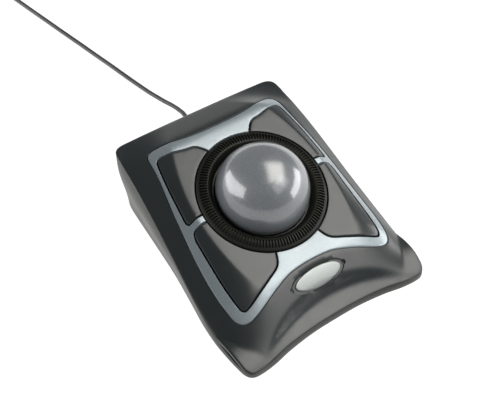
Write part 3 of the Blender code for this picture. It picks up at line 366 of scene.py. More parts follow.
def slot_loop(points, left):
    """A button's slot, on the right or mirrored to the left, always counter-clockwise."""
    loop = evened(spline(points, 12, closed=False), 0.8)
    following = np.roll(loop, -1, 0)
    if (loop[:, 0] * following[:, 1] - following[:, 0] * loop[:, 1]).sum() < 0:
        loop = loop[::-1]
    return loop[::-1] * np.array([-1.0, 1.0]) if left else loop


SILVER_LOOP = evened(spline(mirrored(SILVER_HALF), 12), 1.0)
RIM_LOOP = spline(mirrored([rim for rim, _ in EDGE_HALF]), 10)
FOOT_LOOP = spline(mirrored([foot for _, foot in EDGE_HALF]), 10)
SLOTS = {name: slot_loop(FRONT_SLOT if "front" in name else REAR_SLOT, "left" in name) for name in BUTTONS}
KNEES = [knee_line(side, shift) for side in (-1, 1) for shift in KNEE_OFFSETS]


# ---------------------------------------------------------------- looks
NOISE_LOW, NOISE_HIGH = 0.35, 0.65    # where most of a noise's values lie
PATCH_SCALE = 26.0                    # features per metre
GLOSS_WEAR = 0.02
BRUSH_DEPTH = 0.00001                 # metres


class Nodes:
    """Short words for building a material's node tree."""

    def __init__(self, name):
        self.look = bpy.data.materials.new(name)
        self.look.use_nodes = True
        self.tree = self.look.node_tree
        self.shader = self.tree.nodes["Principled BSDF"]
        self.place = self.add("ShaderNodeTexCoord").outputs["Object"]

    def add(self, kind, **values):
        node = self.tree.nodes.new(kind)
        for key, value in values.items():
            if hasattr(node, key):
                setattr(node, key, value)
            else:
                node.inputs[key.replace("_", " ")].default_value = value
        return node

    def link(self, source, target):
        self.tree.links.new(source, target)

    def noise(self, scale, detail, stretch=(1.0, 1.0, 1.0), roughness=0.5):
        """Noise whose scale is in features per metre, stretched along the axes."""
        mapping = self.add("ShaderNodeMapping")
        mapping.inputs["Scale"].default_value = stretch
        self.link(self.place, mapping.inputs["Vector"])
        noise = self.add("ShaderNodeTexNoise", Scale=scale, Detail=detail, Roughness=roughness)
        self.link(mapping.outputs["Vector"], noise.inputs["Vector"])
        return noise.outputs["Fac"]

    def spread(self, source, low, high):
        """Map the middle of a noise's range to a range of values."""
        node = self.add("ShaderNodeMapRange", From_Min=NOISE_LOW, From_Max=NOISE_HIGH, To_Min=low,
                        To_Max=high)
        self.link(source, node.inputs["Value"])
        return node.outputs["Result"]

    def mix(self, source, dark, light, start=NOISE_LOW, end=NOISE_HIGH):
        """Colour between two tones by a noise."""
        ramp = self.add("ShaderNodeValToRGB")
        ramp.color_ramp.elements[0].position = start
        ramp.color_ramp.elements[0].color = (*dark, 1.0)
        ramp.color_ramp.elements[1].position = end
        ramp.color_ramp.elements[1].color = (*light, 1.0)
        self.link(source, ramp.inputs["Fac"])
        return ramp.outputs["Color"]

    def bump(self, source, depth, strength=1.0):
        """Bump of a depth in metres."""
        node = self.add("ShaderNodeBump", Strength=strength, Distance=depth)
        self.link(source, node.inputs["Height"])
        return node.outputs["Normal"]

    def set(self, **values):
        for key, value in values.items():
            self.shader.inputs[key.replace("_", " ")].default_value = value


def plastic(name, dark, light, roughness, grain=2200.0, depth=0.000008, **values):
    """Moulded plastic: fine grain, soft patches of tone and a little uneven gloss."""
    n = Nodes(name)
    n.link(n.mix(n.noise(PATCH_SCALE, 4.0), dark, light), n.shader.inputs["Base Color"])
    smears = n.spread(n.noise(PATCH_SCALE * 3.0, 5.0, roughness=0.6), roughness - GLOSS_WEAR,
                      roughness + GLOSS_WEAR)
    n.link(smears, n.shader.inputs["Roughness"])
    n.link(n.bump(n.noise(grain, 3.0), depth), n.shader.inputs["Normal"])
    n.set(**values)
    return n.look


def silver_paint():
    """Metallic paint on plastic: tiny bright flakes in a blue-grey base under a satin lacquer."""
    n = Nodes("silver_paint")
    flakes = n.add("ShaderNodeTexVoronoi", Scale=5200.0)
    n.link(n.place, flakes.inputs["Vector"])
    glint = n.add("ShaderNodeSeparateColor")
    n.link(flakes.outputs["Color"], glint.inputs["Color"])
    n.link(n.mix(glint.outputs["Red"], (0.195, 0.230, 0.250), (0.265, 0.305, 0.325), 0.0, 1.0),
           n.shader.inputs["Base Color"])
    n.link(n.spread(n.noise(70.0, 4.0), 0.36, 0.42), n.shader.inputs["Roughness"])
    n.link(n.bump(glint.outputs["Green"], 0.000004, 0.5), n.shader.inputs["Normal"])
    n.set(Metallic=0.38, Coat_Weight=0.5, Coat_Roughness=0.14)
    return n.look


def brushed_metal(name, dark, light, roughness, stretch=(1.0, 40.0, 40.0)):
    """Metal with fine lines along one axis."""
    n = Nodes(name)
    lines = n.noise(90.0, 5.0, stretch, 0.65)
    n.link(n.mix(lines, dark, light, 0.3, 0.7), n.shader.inputs["Base Color"])
    n.link(n.spread(lines, roughness - 0.07, roughness + 0.07), n.shader.inputs["Roughness"])
    n.link(n.bump(lines, BRUSH_DEPTH), n.shader.inputs["Normal"])
    n.set(Metallic=1.0)
    return n.look


def ball_resin():
    """Polished resin with a fine pearl dust in it."""
    n = Nodes("ball_resin")
    dust = n.add("ShaderNodeTexVoronoi", Scale=3800.0)
    n.link(n.place, dust.inputs["Vector"])
    sparkle = n.add("ShaderNodeSeparateColor")
    n.link(dust.outputs["Color"], sparkle.inputs["Color"])
    fine = n.mix(sparkle.outputs["Red"], (0.105, 0.112, 0.118), (0.155, 0.164, 0.171), 0.2, 1.0)
    clouds = n.mix(n.noise(55.0, 3.0), (0.86, 0.87, 0.9), (1.0, 1.0, 1.0))
    tint = n.add("ShaderNodeMix", data_type="RGBA", blend_type="MULTIPLY")
    tint.inputs["Factor"].default_value = 1.0
    n.link(fine, tint.inputs[6])
    n.link(clouds, tint.inputs[7])
    n.link(tint.outputs[2], n.shader.inputs["Base Color"])
    n.link(n.spread(n.noise(160.0, 3.0), 0.30, 0.36), n.shader.inputs["Roughness"])
    n.set(Metallic=0.1, Coat_Weight=1.0, Coat_Roughness=0.12, Coat_IOR=1.6)
    return n.look


def circuit_board():
    """Green board: darker resist with faint copper tracks under it."""
    n = Nodes("circuit_board")
    tracks = n.add("ShaderNodeTexBrick", Scale=180.0, Mortar_Size=0.03)
    tracks.inputs["Color1"].default_value = (0.012, 0.12, 0.05, 1.0)
    tracks.inputs["Color2"].default_value = (0.016, 0.15, 0.06, 1.0)
    tracks.inputs["Mortar"].default_value = (0.04, 0.24, 0.10, 1.0)
    n.link(n.place, tracks.inputs["Vector"])
    n.link(tracks.outputs["Color"], n.shader.inputs["Base Color"])
    n.link(n.spread(n.noise(120.0, 3.0), 0.3, 0.45), n.shader.inputs["Roughness"])
    n.link(n.bump(tracks.outputs["Fac"], 0.00003), n.shader.inputs["Normal"])
    return n.look


def make_looks():
    """One look for each material slot of the record."""
    return {
        "cover_plastic": plastic("cover_plastic", (0.0130, 0.0165, 0.0165), (0.0160, 0.0195, 0.0190), 0.3),
        "case_plastic": plastic("case_plastic", (0.030, 0.030, 0.027), (0.037, 0.037, 0.033), 0.4,
                                grain=1500.0, depth=0.00003),
        "bezel_silver": silver_paint(),
        "badge_metal": brushed_metal("badge_metal", (0.19, 0.205, 0.20), (0.28, 0.295, 0.288), 0.45),
        "ring_rubberised": plastic("ring_rubberised", (0.0055, 0.006, 0.004), (0.009, 0.0095, 0.006), 0.45,
                                   grain=3000.0, Specular_IOR_Level=0.2),
        "ball_resin": ball_resin(),
        "inner_plastic": plastic("inner_plastic", (0.012, 0.012, 0.012), (0.02, 0.02, 0.02), 0.5),
        "slide_acetal": plastic("slide_acetal", (0.66, 0.65, 0.61), (0.76, 0.75, 0.71), 0.4),
        "steel": brushed_metal("steel", (0.5, 0.5, 0.52), (0.66, 0.66, 0.68), 0.28, (1.0, 1.0, 8.0)),
        "circuit_board": circuit_board(),
        "chip_black": plastic("chip_black", (0.012, 0.012, 0.013), (0.02, 0.02, 0.021), 0.5),
        "lens_red": plastic("lens_red", (0.5, 0.03, 0.02), (0.62, 0.05, 0.03), 0.1, Transmission_Weight=0.6),
        "plunger_red": plastic("plunger_red", (0.45, 0.03, 0.02), (0.55, 0.05, 0.03), 0.3),
        "ribbon_grey": plastic("ribbon_grey", (0.45, 0.45, 0.44), (0.55, 0.55, 0.53), 0.45),
        "foot_rubber": plastic("foot_rubber", (0.012, 0.012, 0.012), (0.022, 0.022, 0.021), 0.7, grain=900.0,
                               depth=0.00008),
        "cord_rubber": plastic("cord_rubber", (0.028, 0.029, 0.031), (0.042, 0.043, 0.045), 0.42,
                               grain=1800.0, depth=0.00003),
    }


# ---------------------------------------------------------------- mesh tools
def make_solid(name, points, faces):
    """An object with one mesh, given in millimetres, whose faces all look outwards."""
    mesh = bpy.data.meshes.new(name)
    mesh.from_pydata((np.array([tuple(p) for p in points], float) * MM).tolist(), [], faces)
    work = bmesh.new()
    work.from_mesh(mesh)
    bmesh.ops.recalc_face_normals(work, faces=work.faces)
    work.to_mesh(mesh)
    work.free()
    obj = bpy.data.objects.new(name, mesh)
    bpy.context.scene.collection.objects.link(obj)
    return obj


def smooth(mesh, sharp=SHARP):
    """Smooth shading, with a hard edge where two faces meet at more than an angle in degrees."""
    mesh.shade_smooth()
    mesh.set_sharp_from_angle(angle=radians(sharp))


def add_piece(name, points, faces, slot, body="case", stands_for=(), sharp=SHARP):
    """One closed piece in millimetres, riding on a body and standing for CAD nodes."""
    obj = make_solid(name, points, faces)
    smooth(obj.data, sharp)
    return dress(obj, slot, body, stands_for)


def dress(obj, slot, body, stands_for):
    """Material, body and CAD nodes of a new piece."""
    obj.data.materials.append(LOOKS[slot])
    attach(obj, body)
    if stands_for:
        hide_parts(*stands_for)
    return obj


def rounding(distance, edge):
    """Drop of a rounded edge at a distance inside it; edge is its width and its full drop."""
    width, drop = edge
    reach = np.clip((width - distance) / width, 0.0, 1.0)
    return drop * (1.0 - np.sqrt(1.0 - reach * reach))


def plan_plate(outer, holes, top, bottom, lines=(), folds=(), spacing=GRID):
    """Points and faces of a plate drawn in plan. outer and holes are (loop, edge) pairs, edge being None
    or the rounding of its upper rim; lines are closed lines and folds open lines that its mesh follows."""
    bounds = [(outer[0], outer[1], 1.0)] + [(loop, edge, -1.0) for loop, edge in holes]
    closed = list(lines)
    for loop, edge, side in bounds:
        steps = [side * edge[0] * step for step in EDGE_STEPS] if edge else [0.0]
        closed += [offset(loop, step) if step else loop for step in steps]
    points, edges = [], []
    for loop in closed:
        first, count = len(points), len(loop)
        points += [tuple(p) for p in loop]
        edges += [(first + k, first + (k + 1) % count) for k in range(count)]
    for fold in folds:
        first = len(points)
        points += [tuple(p) for p in fold]
        edges += [(first + k, first + k + 1) for k in range(len(fold) - 1)]

    def depths(x, y):
        return [side * depth_in(loop, x, y) for loop, _, side in bounds]

    low, high = outer[0].min(axis=0), outer[0].max(axis=0)
    x, y = np.meshgrid(np.arange(low[0], high[0], spacing), np.arange(low[1], high[1], spacing))
    x = (x + np.where(np.arange(x.shape[0]) % 2, 0.5 * spacing, 0.0)[:, None]).ravel()
    y = y.ravel()
    clear = np.min(depths(x, y), axis=0) > 0.6 * spacing
    for line in (*closed, *folds):
        ends = line if any(line is c for c in closed) else np.vstack([line, line[-2:0:-1]])
        clear &= np.abs(depth_in(ends, x, y)) > 0.5 * spacing
    points += list(zip(x[clear].tolist(), y[clear].tolist()))
    flat, _, triangles, *_ = delaunay_2d_cdt([Vector(p) for p in points], edges, [], 0, 1e-5)
    flat = np.array([tuple(p) for p in flat])
    tri = np.array(triangles)
    a, b, c = flat[tri[:, 0]], flat[tri[:, 1]], flat[tri[:, 2]]
    area = (b[:, 0] - a[:, 0]) * (c[:, 1] - a[:, 1]) - (b[:, 1] - a[:, 1]) * (c[:, 0] - a[:, 0])
    middle = (a + b + c) / 3
    kept = (np.abs(area) > 1e-7) & (np.min(depths(middle[:, 0], middle[:, 1]), axis=0) > 0)
    tri = np.where((area < 0)[:, None], tri[:, ::-1], tri)[kept]
    used, tri = np.unique(tri, return_inverse=True)
    tri = tri.reshape(-1, 3)
    x, y = flat[used].T
    drop = np.zeros(len(x))
    for depth, (_, edge, _) in zip(depths(x, y), bounds):
        if edge:
            drop = np.maximum(drop, rounding(depth, edge))
    upper = np.stack([x, y, top(x, y) - drop], axis=1)
    lower = np.stack([x, y, bottom(x, y)], axis=1)
    count = len(x)
    border = {(int(t[k]), int(t[(k + 1) % 3])) for t in tri for k in range(3)}
    faces = [tuple(t) for t in tri.tolist()] + [tuple(reversed(t)) for t in (tri + count).tolist()]
    faces += [(b, a, a + count, b + count) for a, b in border if (b, a) not in border]
    return np.vstack([upper, lower]), faces


def turned(profile, segments, matrix):
    """Points and faces of a (radius, height) profile spun about Z and placed; radius 0 makes a pole."""
    points, faces, rings = [], [], []
    for radius, height in profile:
        if radius < 1e-9:
            rings.append([len(points)])
            points.append(Vector((0, 0, height)))
        else:
            rings.append(list(range(len(points), len(points) + segments)))
            points += [Vector((radius * cos(tau * k / segments), radius * sin(tau * k / segments), height))
                       for k in range(segments)]
    hollow = all(len(r) > 1 for r in rings)
    pairs = list(zip(rings, rings[1:] + rings[:1])) if hollow else list(zip(rings, rings[1:]))
    for a, b in pairs:
        for k in range(segments):
            n = (k + 1) % segments
            if len(a) == 1:
                faces.append((a[0], b[n], b[k]))
            elif len(b) == 1:
                faces.append((a[k], a[n], b[0]))
            else:
                faces.append((a[k], a[n], b[n], b[k]))
    return [matrix @ p for p in points], faces


def stack(loops, wrap=False):
    """Points and faces of a solid through loops of equal length; its ends are closed by flat faces."""
    count = len(loops[0])
    points = [p for loop in loops for p in loop]
    pairs = [(r, r + 1) for r in range(len(loops) - 1)]
    faces = [(r * count + k, r * count + (k + 1) % count, s * count + (k + 1) % count, s * count + k)
             for r, s in pairs + ([(len(loops) - 1, 0)] if wrap else []) for k in range(count)]
    if not wrap:
        last = (len(loops) - 1) * count
        faces += [tuple(reversed(range(count))), tuple(range(last, last + count))]
    return points, faces


def prism(loop, low, high, place):
    """Points and faces of a straight-sided solid over a plan loop, each point placed by a function."""
    return stack([[place(p[0], p[1], z) for p in loop] for z in (low, high)])


def rod(start, end, radius, segments=24):
    """Points and faces of a round rod between two points."""
    start, end = Vector(start), Vector(end)
    turn = (end - start).to_track_quat("Z", "Y").to_matrix().to_4x4()
    length = (end - start).length
    return turned([(0, 0), (radius, 0), (radius, length), (0, length)], segments,
                  Matrix.Translation(start) @ turn)


def combine(obj, solids, how):
    """Add or cut a group of separate solids."""
    points, faces = [], []
    for more_points, more_faces in solids:
        start = len(points)
        points += list(more_points)
        faces += [tuple(i + start for i in face) for face in more_faces]
    guide = make_solid("guide", points, faces)
    modifier = obj.modifiers.new(how.lower(), "BOOLEAN")
    modifier.operation = how
    modifier.object = guide
    bpy.context.view_layer.update()
    evaluated = obj.evaluated_get(bpy.context.evaluated_depsgraph_get())
    result = bpy.data.meshes.new_from_object(evaluated)
    obj.modifiers.clear()
    obj.data = result
    smooth(result)
    bpy.data.objects.remove(guide, do_unlink=True)


# ---------------------------------------------------------------- shells
def recess_drop(x, y):
    """How far the badge recess and its two end dimples drop the cover's surface."""
    depth = depth_in(ellipse(*RECESS_EDGE, 96, (0.0, BADGE_CENTRE_Y)), x, y)
    drop = RECESS_DEPTH * smoothstep((depth - RECESS_STEPS[0]) / RECESS_WALL)
    for side in (-1, 1):
        reach = np.hypot(x - side * DIMPLE_X, y - BADGE_CENTRE_Y) / DIMPLE_RADIUS
        drop = np.maximum(drop, DIMPLE_DEPTH * np.sqrt(np.clip(1.0 - reach * reach, 0.0, 1.0)))
    return drop


def make_cover():
    rebate = offset(SILVER_LOOP, -REBATE_TOP)
    foot = offset(SILVER_LOOP, -REBATE_FOOT)
    opening = offset(SILVER_LOOP, LEDGE_WIDTH)
    lines = [offset(rebate, -REBATE_EDGE[0] * step) for step in EDGE_STEPS] + [foot]
    lines += [ellipse(RECESS_EDGE[0] - d, RECESS_EDGE[1] - d, 96, (0.0, BADGE_CENTRE_Y))
              for d in RECESS_STEPS]
    lines += [ellipse(DIMPLE_RADIUS * r, DIMPLE_RADIUS * r, 20, (side * DIMPLE_X, BADGE_CENTRE_Y))
              for side in (-1, 1) for r in (0.4, 0.75, 0.95, 1.0)]

    def top(x, y):
        depth = depth_in(SILVER_LOOP, x, y)
        edge = rounding(-REBATE_TOP - depth, REBATE_EDGE)
        drop = np.where(depth > -0.5 * (REBATE_TOP + REBATE_FOOT), LEDGE_DROP, edge)
        return top_height(x, y) - np.maximum(drop, recess_drop(x, y))

    def bottom(x, y):
        fade = (depth_in(SILVER_LOOP, x, y) + REBATE_FADE) / (REBATE_FADE - REBATE_FULL)
        extra = (LEDGE_DROP + LEDGE_WALL - COVER_WALL) * np.clip(fade, 0.0, 1.0)
        low = top_height(x, y) - np.maximum(COVER_WALL + extra, recess_drop(x, y) + LEDGE_WALL)
        return np.maximum(low, part_line(y))

    plate = plan_plate((RIM_LOOP, RIM_EDGE), [(opening, None)], top, bottom, lines, KNEES)
    return add_piece("cover_shell", *plate, "cover_plastic", stands_for=("top_cover",))


def make_bezel():
    """The bright frame: an outer band, two lands and two cross bars around the buttons and the ring."""
    holes = [(ring_shadow(RING_RADIUS + RING_GAP), BEZEL_EDGE)]
    holes += [(offset(loop, -SLOT_WIDTH / 2), BEZEL_EDGE) for loop in SLOTS.values()]
    plate = plan_plate((SILVER_LOOP, BEZEL_OUTER_EDGE), holes, top_height,
                       lambda x, y: top_height(x, y) - BEZEL_WALL, folds=KNEES)
    return add_piece("silver_frame", *plate, "bezel_silver", stands_for=("bezel_frame",))


def make_buttons():
    """Button plates with their knuckles, bores and pushers."""
    shadow = ring_shadow(RING_RADIUS + RING_GAP)
    buttons = []
    for name, angle in BUTTONS.items():
        outline = offset(SLOTS[name], SLOT_WIDTH / 2)
        plate = plan_plate((outline, BUTTON_EDGE), [(shadow, BEZEL_EDGE)], top_height,
                           lambda x, y: top_height(x, y) - BUTTON_WALL, folds=KNEES)
        button = add_piece(name.replace("button", "key"), *plate, "cover_plastic", name, (name,))
        lugs = [prism(rectangle(along(angle, HINGE_RADIUS, side), KNUCKLE_SIZE, radians(angle)),
                      HINGE_DEPTH - KNUCKLE_BELOW, PLATE_INSIDE, ring_point) for side in KNUCKLE_PLACES]
        pusher = ellipse(PUSHER_RADIUS, PUSHER_RADIUS, 20, along(angle, SWITCH_RADIUS))
        lugs.append(prism(pusher, PLUNGER_TOP + AIR, PLATE_INSIDE, ring_point))
        combine(button, lugs, "UNION")
        bore = rod(ring_point(*along(angle, HINGE_RADIUS, -BORE_HALF), HINGE_DEPTH),
                   ring_point(*along(angle, HINGE_RADIUS, BORE_HALF), HINGE_DEPTH), PIN_HOLE)
        combine(button, [bore], "DIFFERENCE")
        buttons.append(button)
    return buttons


def make_case():
    """The tray: a flat floor, and a wall that leans out from its foot to the rim."""
    tops = part_line(RIM_LOOP[:, 1]) - AIR

    def ring(step, inset, base):
        lean = 0.4 * step + 0.6 * step ** 4
        loop = FOOT_LOOP + (RIM_LOOP - FOOT_LOOP) * lean
        swell = CASE_BELT * sin(pi * step * step) * smoothstep((loop[:, 1] + 35.0) / 75.0)
        loop = loop + (offset(loop, -1.0) - loop) * swell[:, None]
        if inset:
            loop = offset(loop, inset)
        return np.column_stack([loop, base + (tops - base) * step])

    rings = [ring(0.0, 0.8, CASE_FOOT), ring(0.0, 0.25, CASE_FOOT + 0.1)]
    rings += [ring(k / 16, 0.0, CASE_FOOT + 0.5 * (1 - k / 16)) for k in range(16)]
    rings += [ring(0.97, 0.0, CASE_FOOT), ring(0.99, 0.0, CASE_FOOT), ring(0.998, 0.12, CASE_FOOT),
              ring(1.0, 0.35, CASE_FOOT)]
    rings += [ring(step, CASE_WALL, FLOOR_TOP) for step in (1.0, 0.9, 0.75, 0.5, 0.25, 0.0)]
    points, faces = stack(rings)
    case = add_piece("case_shell", points, faces, "case_plastic", stands_for=("bottom_case",))
    root = FLOOR_TOP - POST_ROOT
    posts = [rod((x, y, root), (x, y, CASE_POST_TOP), CASE_POST_RADIUS) for x, y in CASE_SCREWS]
    posts += [leaning_post(*along(angle, SOCKET_SCREW_RADIUS), SOCKET_POST_RADIUS) for angle in SOCKET_SCREWS]
    posts += [rod((x, y, root), (x, y, MAIN_BOARD_TOP - BOARD_WALL - AIR), BOARD_POST_RADIUS)
              for x, y in BOARD_SCREWS]
    combine(case, posts, "UNION")
    screw_hole = [(0, 0.0), (HEAD_RADIUS, 0.0), (HEAD_RADIUS, HEAD_DEPTH), (HOLE_RADIUS, HEAD_DEPTH),
                  (HOLE_RADIUS, HOLE_TOP), (0, HOLE_TOP)]
    holes = [turned(screw_hole, 24, Matrix.Translation((x, y, 0.0))) for x, y in CASE_SCREWS]
    holes += [rod((x, y, FLOOR_TOP - 0.8), (x, y, HOLE_TOP), BOARD_HOLE_RADIUS) for x, y in BOARD_SCREWS]
    for angle in SOCKET_SCREWS:
        x, v = along(angle, SOCKET_SCREW_RADIUS)
        holes.append(rod(ring_point(x, v, CARRIER_TOP - 12.0), ring_point(x, v, CARRIER_TOP + 1.0),
                         SOCKET_HOLE_RADIUS))
    holes.append(rod((0, EXIT_FROM, EXIT_HEIGHT), (0, EXIT_TO, EXIT_HEIGHT), EXIT_RADIUS, 32))
    combine(case, holes, "DIFFERENCE")


def leaning_post(x, v, radius):
    """An upright post from the floor whose top follows the underside of the button carrier."""
    foot = ring_point(x, v, CARRIER_TOP - CARRIER_WALL - AIR - 0.6)
    loop = ellipse(radius, radius, 24, (foot.x, foot.y))
    roof = (CARRIER_TOP - CARRIER_WALL - AIR) / cos(TILT)
    return stack([[(px, py, FLOOR_TOP - POST_ROOT) for px, py in loop],
                  [(px, py, top_plane(py) + roof) for px, py in loop]])


def make_badge():
    """A plain oval plate, a little crowned, with a rounded rim."""
    outline = ellipse(*BADGE_SIZE, 96, (0.0, BADGE_CENTRE_Y))

    def top(x, y):
        reach = np.hypot(x / BADGE_SIZE[0], (y - BADGE_CENTRE_Y) / BADGE_SIZE[1])
        return top_height(x, y) + BADGE_RISE - BADGE_CROWN * reach ** 2

    plate = plan_plate((outline, BADGE_EDGE), [], top,
                       lambda x, y: top_height(x, y) - RECESS_DEPTH + AIR, spacing=0.8)
    return add_piece("badge_plate", *plate, "badge_metal", stands_for=("badge",))


# ---------------------------------------------------------------- ring and ball
def make_ring():
    """The scroll ring: a plain outer edge, a band of fine radial ribs and a smooth cone down to the ball."""
    profile = [(38.5, -3.0), (38.5, -0.5), (38.4, -0.1), (38.1, 0.25), (37.5, 0.6), (36.95, 0.85),
               (36.8, 0.95), (36.6, 1.1), (36.0, 1.4), (35.1, 1.8), (34.2, 2.1), (33.4, 2.25), (32.8, 2.3),
               (32.5, 2.28), (32.3, 2.2), (31.9, 2.1), (31.5, 1.9), (31.2, 1.6), (30.9, 1.2), (30.3, 0.35),
               (29.6, -0.6), (29.0, -1.5), (28.75, -2.0), (28.7, -3.0), (30.6, -3.0), (30.6, -1.6),
               (36.2, -1.6), (36.2, -3.0)]
    first, last = profile.index((36.6, 1.1)), profile.index((32.5, 2.28))
    segments = RIBS * RIB_SAMPLES
    matrix = ring_matrix()
    loops = []
    for index, (radius, height) in enumerate(profile):
        ribbed = first <= index <= last
        loop = []
        for k in range(segments):
            a = tau * k / segments
            share = 0.5 - 0.5 * cos(tau * k / RIB_SAMPLES)
            cut = RIB_DEPTH * min(max(2.2 * share - 0.7, 0.0), 1.0) if ribbed else 0.0
            loop.append(matrix @ Vector((radius * cos(a), radius * sin(a), height - cut)))
        loops.append(loop)
    points, faces = stack(loops, wrap=True)
    return add_piece("knurled_ring", points, faces, "ring_rubberised", "ring", ("scroll_ring",), 40.0)


def make_ball():
    rows, columns = 72, 144
    profile = [(BALL_RADIUS * sin(pi * k / rows), BALL_RADIUS * cos(pi * k / rows)) for k in range(rows + 1)]
    profile[0], profile[-1] = (0.0, BALL_RADIUS), (0.0, -BALL_RADIUS)
    centre = Matrix.Translation(ring_point(0, 0, BALL_RISE))
    return add_piece("ball", *turned(profile, columns, centre), "ball_resin", "ball", ("trackball",))


# ---------------------------------------------------------------- feet
def make_feet():
    """Soft pads with a rounded lower edge."""
    for k, place in enumerate(FEET):
        levels = [(0.9, 0.0), (0.45, 0.04), (0.14, 0.2), (0.0, 0.45), (0.0, CASE_FOOT - AIR)]
        loops = [[(x, y, z) for x, y in rounded_rectangle(place, (FOOT_SIZE[0] - 2 * inset,
                                                                 FOOT_SIZE[1] - 2 * inset),
                                                         FOOT_CORNER - inset, 8)] for inset, z in levels]
        add_piece(f"foot_pad_{k + 1}", *stack(loops), "foot_rubber", stands_for=(f"foot_{k + 1}",))


# ---------------------------------------------------------------- lead
def coil_route():
    """The lead's turns: wound clockwise in layers, inwards and outwards in turn, then down its outer side."""
    start, end = Vector(LEAD_ROUTE[-1]), Vector(TAIL_ROUTE[0])
    first = start.to_2d() - COIL_CENTRE
    last = end.to_2d() - COIL_CENTRE
    begin, finish = degrees(atan2(first.y, first.x)) % 360.0, degrees(atan2(last.y, last.x))
    outer, inner = COIL_MIDDLE + COIL_HALF - CORD_RADIUS, COIL_MIDDLE - COIL_HALF + CORD_RADIUS
    entry, climb, leave, descent = 40.0, 72.0, 45.0, 70.0
    total = begin - finish + 360.0 * COIL_TURNS
    layer = (total - entry - leave - descent - climb * (COIL_LAYERS - 1)) / COIL_LAYERS
    base = CORD_RADIUS + TURN_GAP
    keys = [(0.0, first.length, start.z, "ease"), (entry, outer, base, "line")]
    for k in range(COIL_LAYERS):
        radius, height = (outer if k % 2 else inner), base + LAYER_STEP * k
        keys.append((keys[-1][0] + layer, radius, height, "soft"))
        if k < COIL_LAYERS - 1:
            keys.append((keys[-1][0] + climb, radius, height + LAYER_STEP, "line"))
    keys.append((keys[-1][0] + leave, outer + 2 * CORD_RADIUS + TURN_GAP, keys[-1][2], "soft"))
    keys.append((total, last.length, end.z, "end"))
    points, step = [], 5.0
    for (a, ra, za, how), (b, rb, zb, _) in zip(keys, keys[1:]):
        count = max(int(round((b - a) / step)), 2)
        for k in range(count):
            t = k / count
            t = {"ease": 1.0 - (1.0 - t) ** 2, "line": t, "soft": t * t * (3 - 2 * t)}[how]
            angle = radians(begin - (a + (b - a) * k / count))
            radius, height = ra + (rb - ra) * t, za + (zb - za) * t
            points.append((COIL_CENTRE.x + radius * cos(angle), COIL_CENTRE.y + radius * sin(angle), height))
    return points


def make_lead():
    """One cord from the strain relief through the coil to the plug."""
    lead = spline(LEAD_ROUTE, 12, closed=False)
    tail = spline(TAIL_ROUTE, 10, closed=False)
    route = evened(np.vstack([lead[:-1], coil_route(), tail]), LEAD_SPACING, closed=False)
    curve = bpy.data.curves.new("lead", "CURVE")
    curve.dimensions = "3D"
    curve.bevel_depth = CORD_RADIUS * MM
    curve.bevel_resolution = 4
    curve.use_fill_caps = True
    line = curve.splines.new("POLY")
    line.points.add(len(route) - 1)
    for point, place in zip(line.points, route):
        point.co = (*(place * MM), 1.0)
    line.use_smooth = True
    obj = bpy.data.objects.new("lead", curve)
    bpy.context.scene.collection.objects.link(obj)
    return dress(obj, "cord_rubber", "case", ("cable_lead", "cable_tail", "cable_coil"))


def make_relief():
    """The tapered strain relief, with soft ribs around it."""
    place = Matrix.Translation((0, 0, EXIT_HEIGHT)) @ Matrix.Rotation(-pi / 2, 4, "X")
    profile = [(0, 60.5), (4.6, 60.5), (4.6, 62.3), (3.1, 62.3), (3.1, 69.2), (3.3, 69.6)]
    ribs, start = 5, 70.0
    pitch = (RELIEF_END - 0.8 - start) / ribs
    for k in range(ribs):
        outer = 3.3 - 1.0 * (k + 0.3) / ribs
        y = start + pitch * k
        profile += [(outer - 0.1, y), (outer, y + 0.2 * pitch), (outer - 0.05, y + 0.6 * pitch),
                    (outer - 0.2, y + 0.7 * pitch), (outer - 0.45, y + 0.78 * pitch),
                    (outer - 0.45, y + 0.92 * pitch)]
    profile += [(2.1, RELIEF_END - 0.7), (2.0, RELIEF_END - 0.2), (1.8, RELIEF_END), (0, RELIEF_END)]
    return add_piece("relief", *turned(profile, 40, place), "cord_rubber", stands_for=("strain_relief",))


def make_tie():
    """A soft strap over the coil, open below, with rounded shoulders."""
    wall, width, bend = 1.0, 4.0, 2.4
    near = sqrt((COIL_MIDDLE - COIL_HALF) ** 2 - width ** 2) - AIR
    far, top = COIL_MIDDLE + COIL_HALF + AIR, COIL_HEIGHT + AIR

    def arch(grow):
        """Outline of the strap's line, grown outwards."""
        left, right, high, radius = near - grow, far + grow, top + grow, bend + grow
        out = [(left, 0.2)]
        for centre, start in ((left + radius, pi), (right - radius, pi / 2)):
            turns = [start - k * pi / 16 for k in range(9)]
            out += [(centre + radius * cos(a), high - radius + radius * sin(a)) for a in turns]
        return out + [(right, 0.2)]

    section = arch(wall) + arch(0.0)[::-1]
    depths = [(-width, 0.25), (-width + 0.3, 0.0), (width - 0.3, 0.0), (width, 0.25)]
    middle = arch(wall / 2)
    middle = middle + middle[::-1]
    loops = []
    for depth, inset in depths:
        share = inset / wall * 2
        loops.append([(COIL_CENTRE.x + r + (m - r) * share, COIL_CENTRE.y + depth, z + (h - z) * share)
                      for (r, z), (m, h) in zip(section, middle)])
    return add_piece("tie", *stack(loops), "cord_rubber", stands_for=("coil_tie",))


def plug_place(x, z, along_plug):
    """A point across the plug, above its middle and along it from its cord end."""
    return Vector((PLUG_START[0] - x, PLUG_START[1] - along_plug, PLUG_HEIGHT + z))


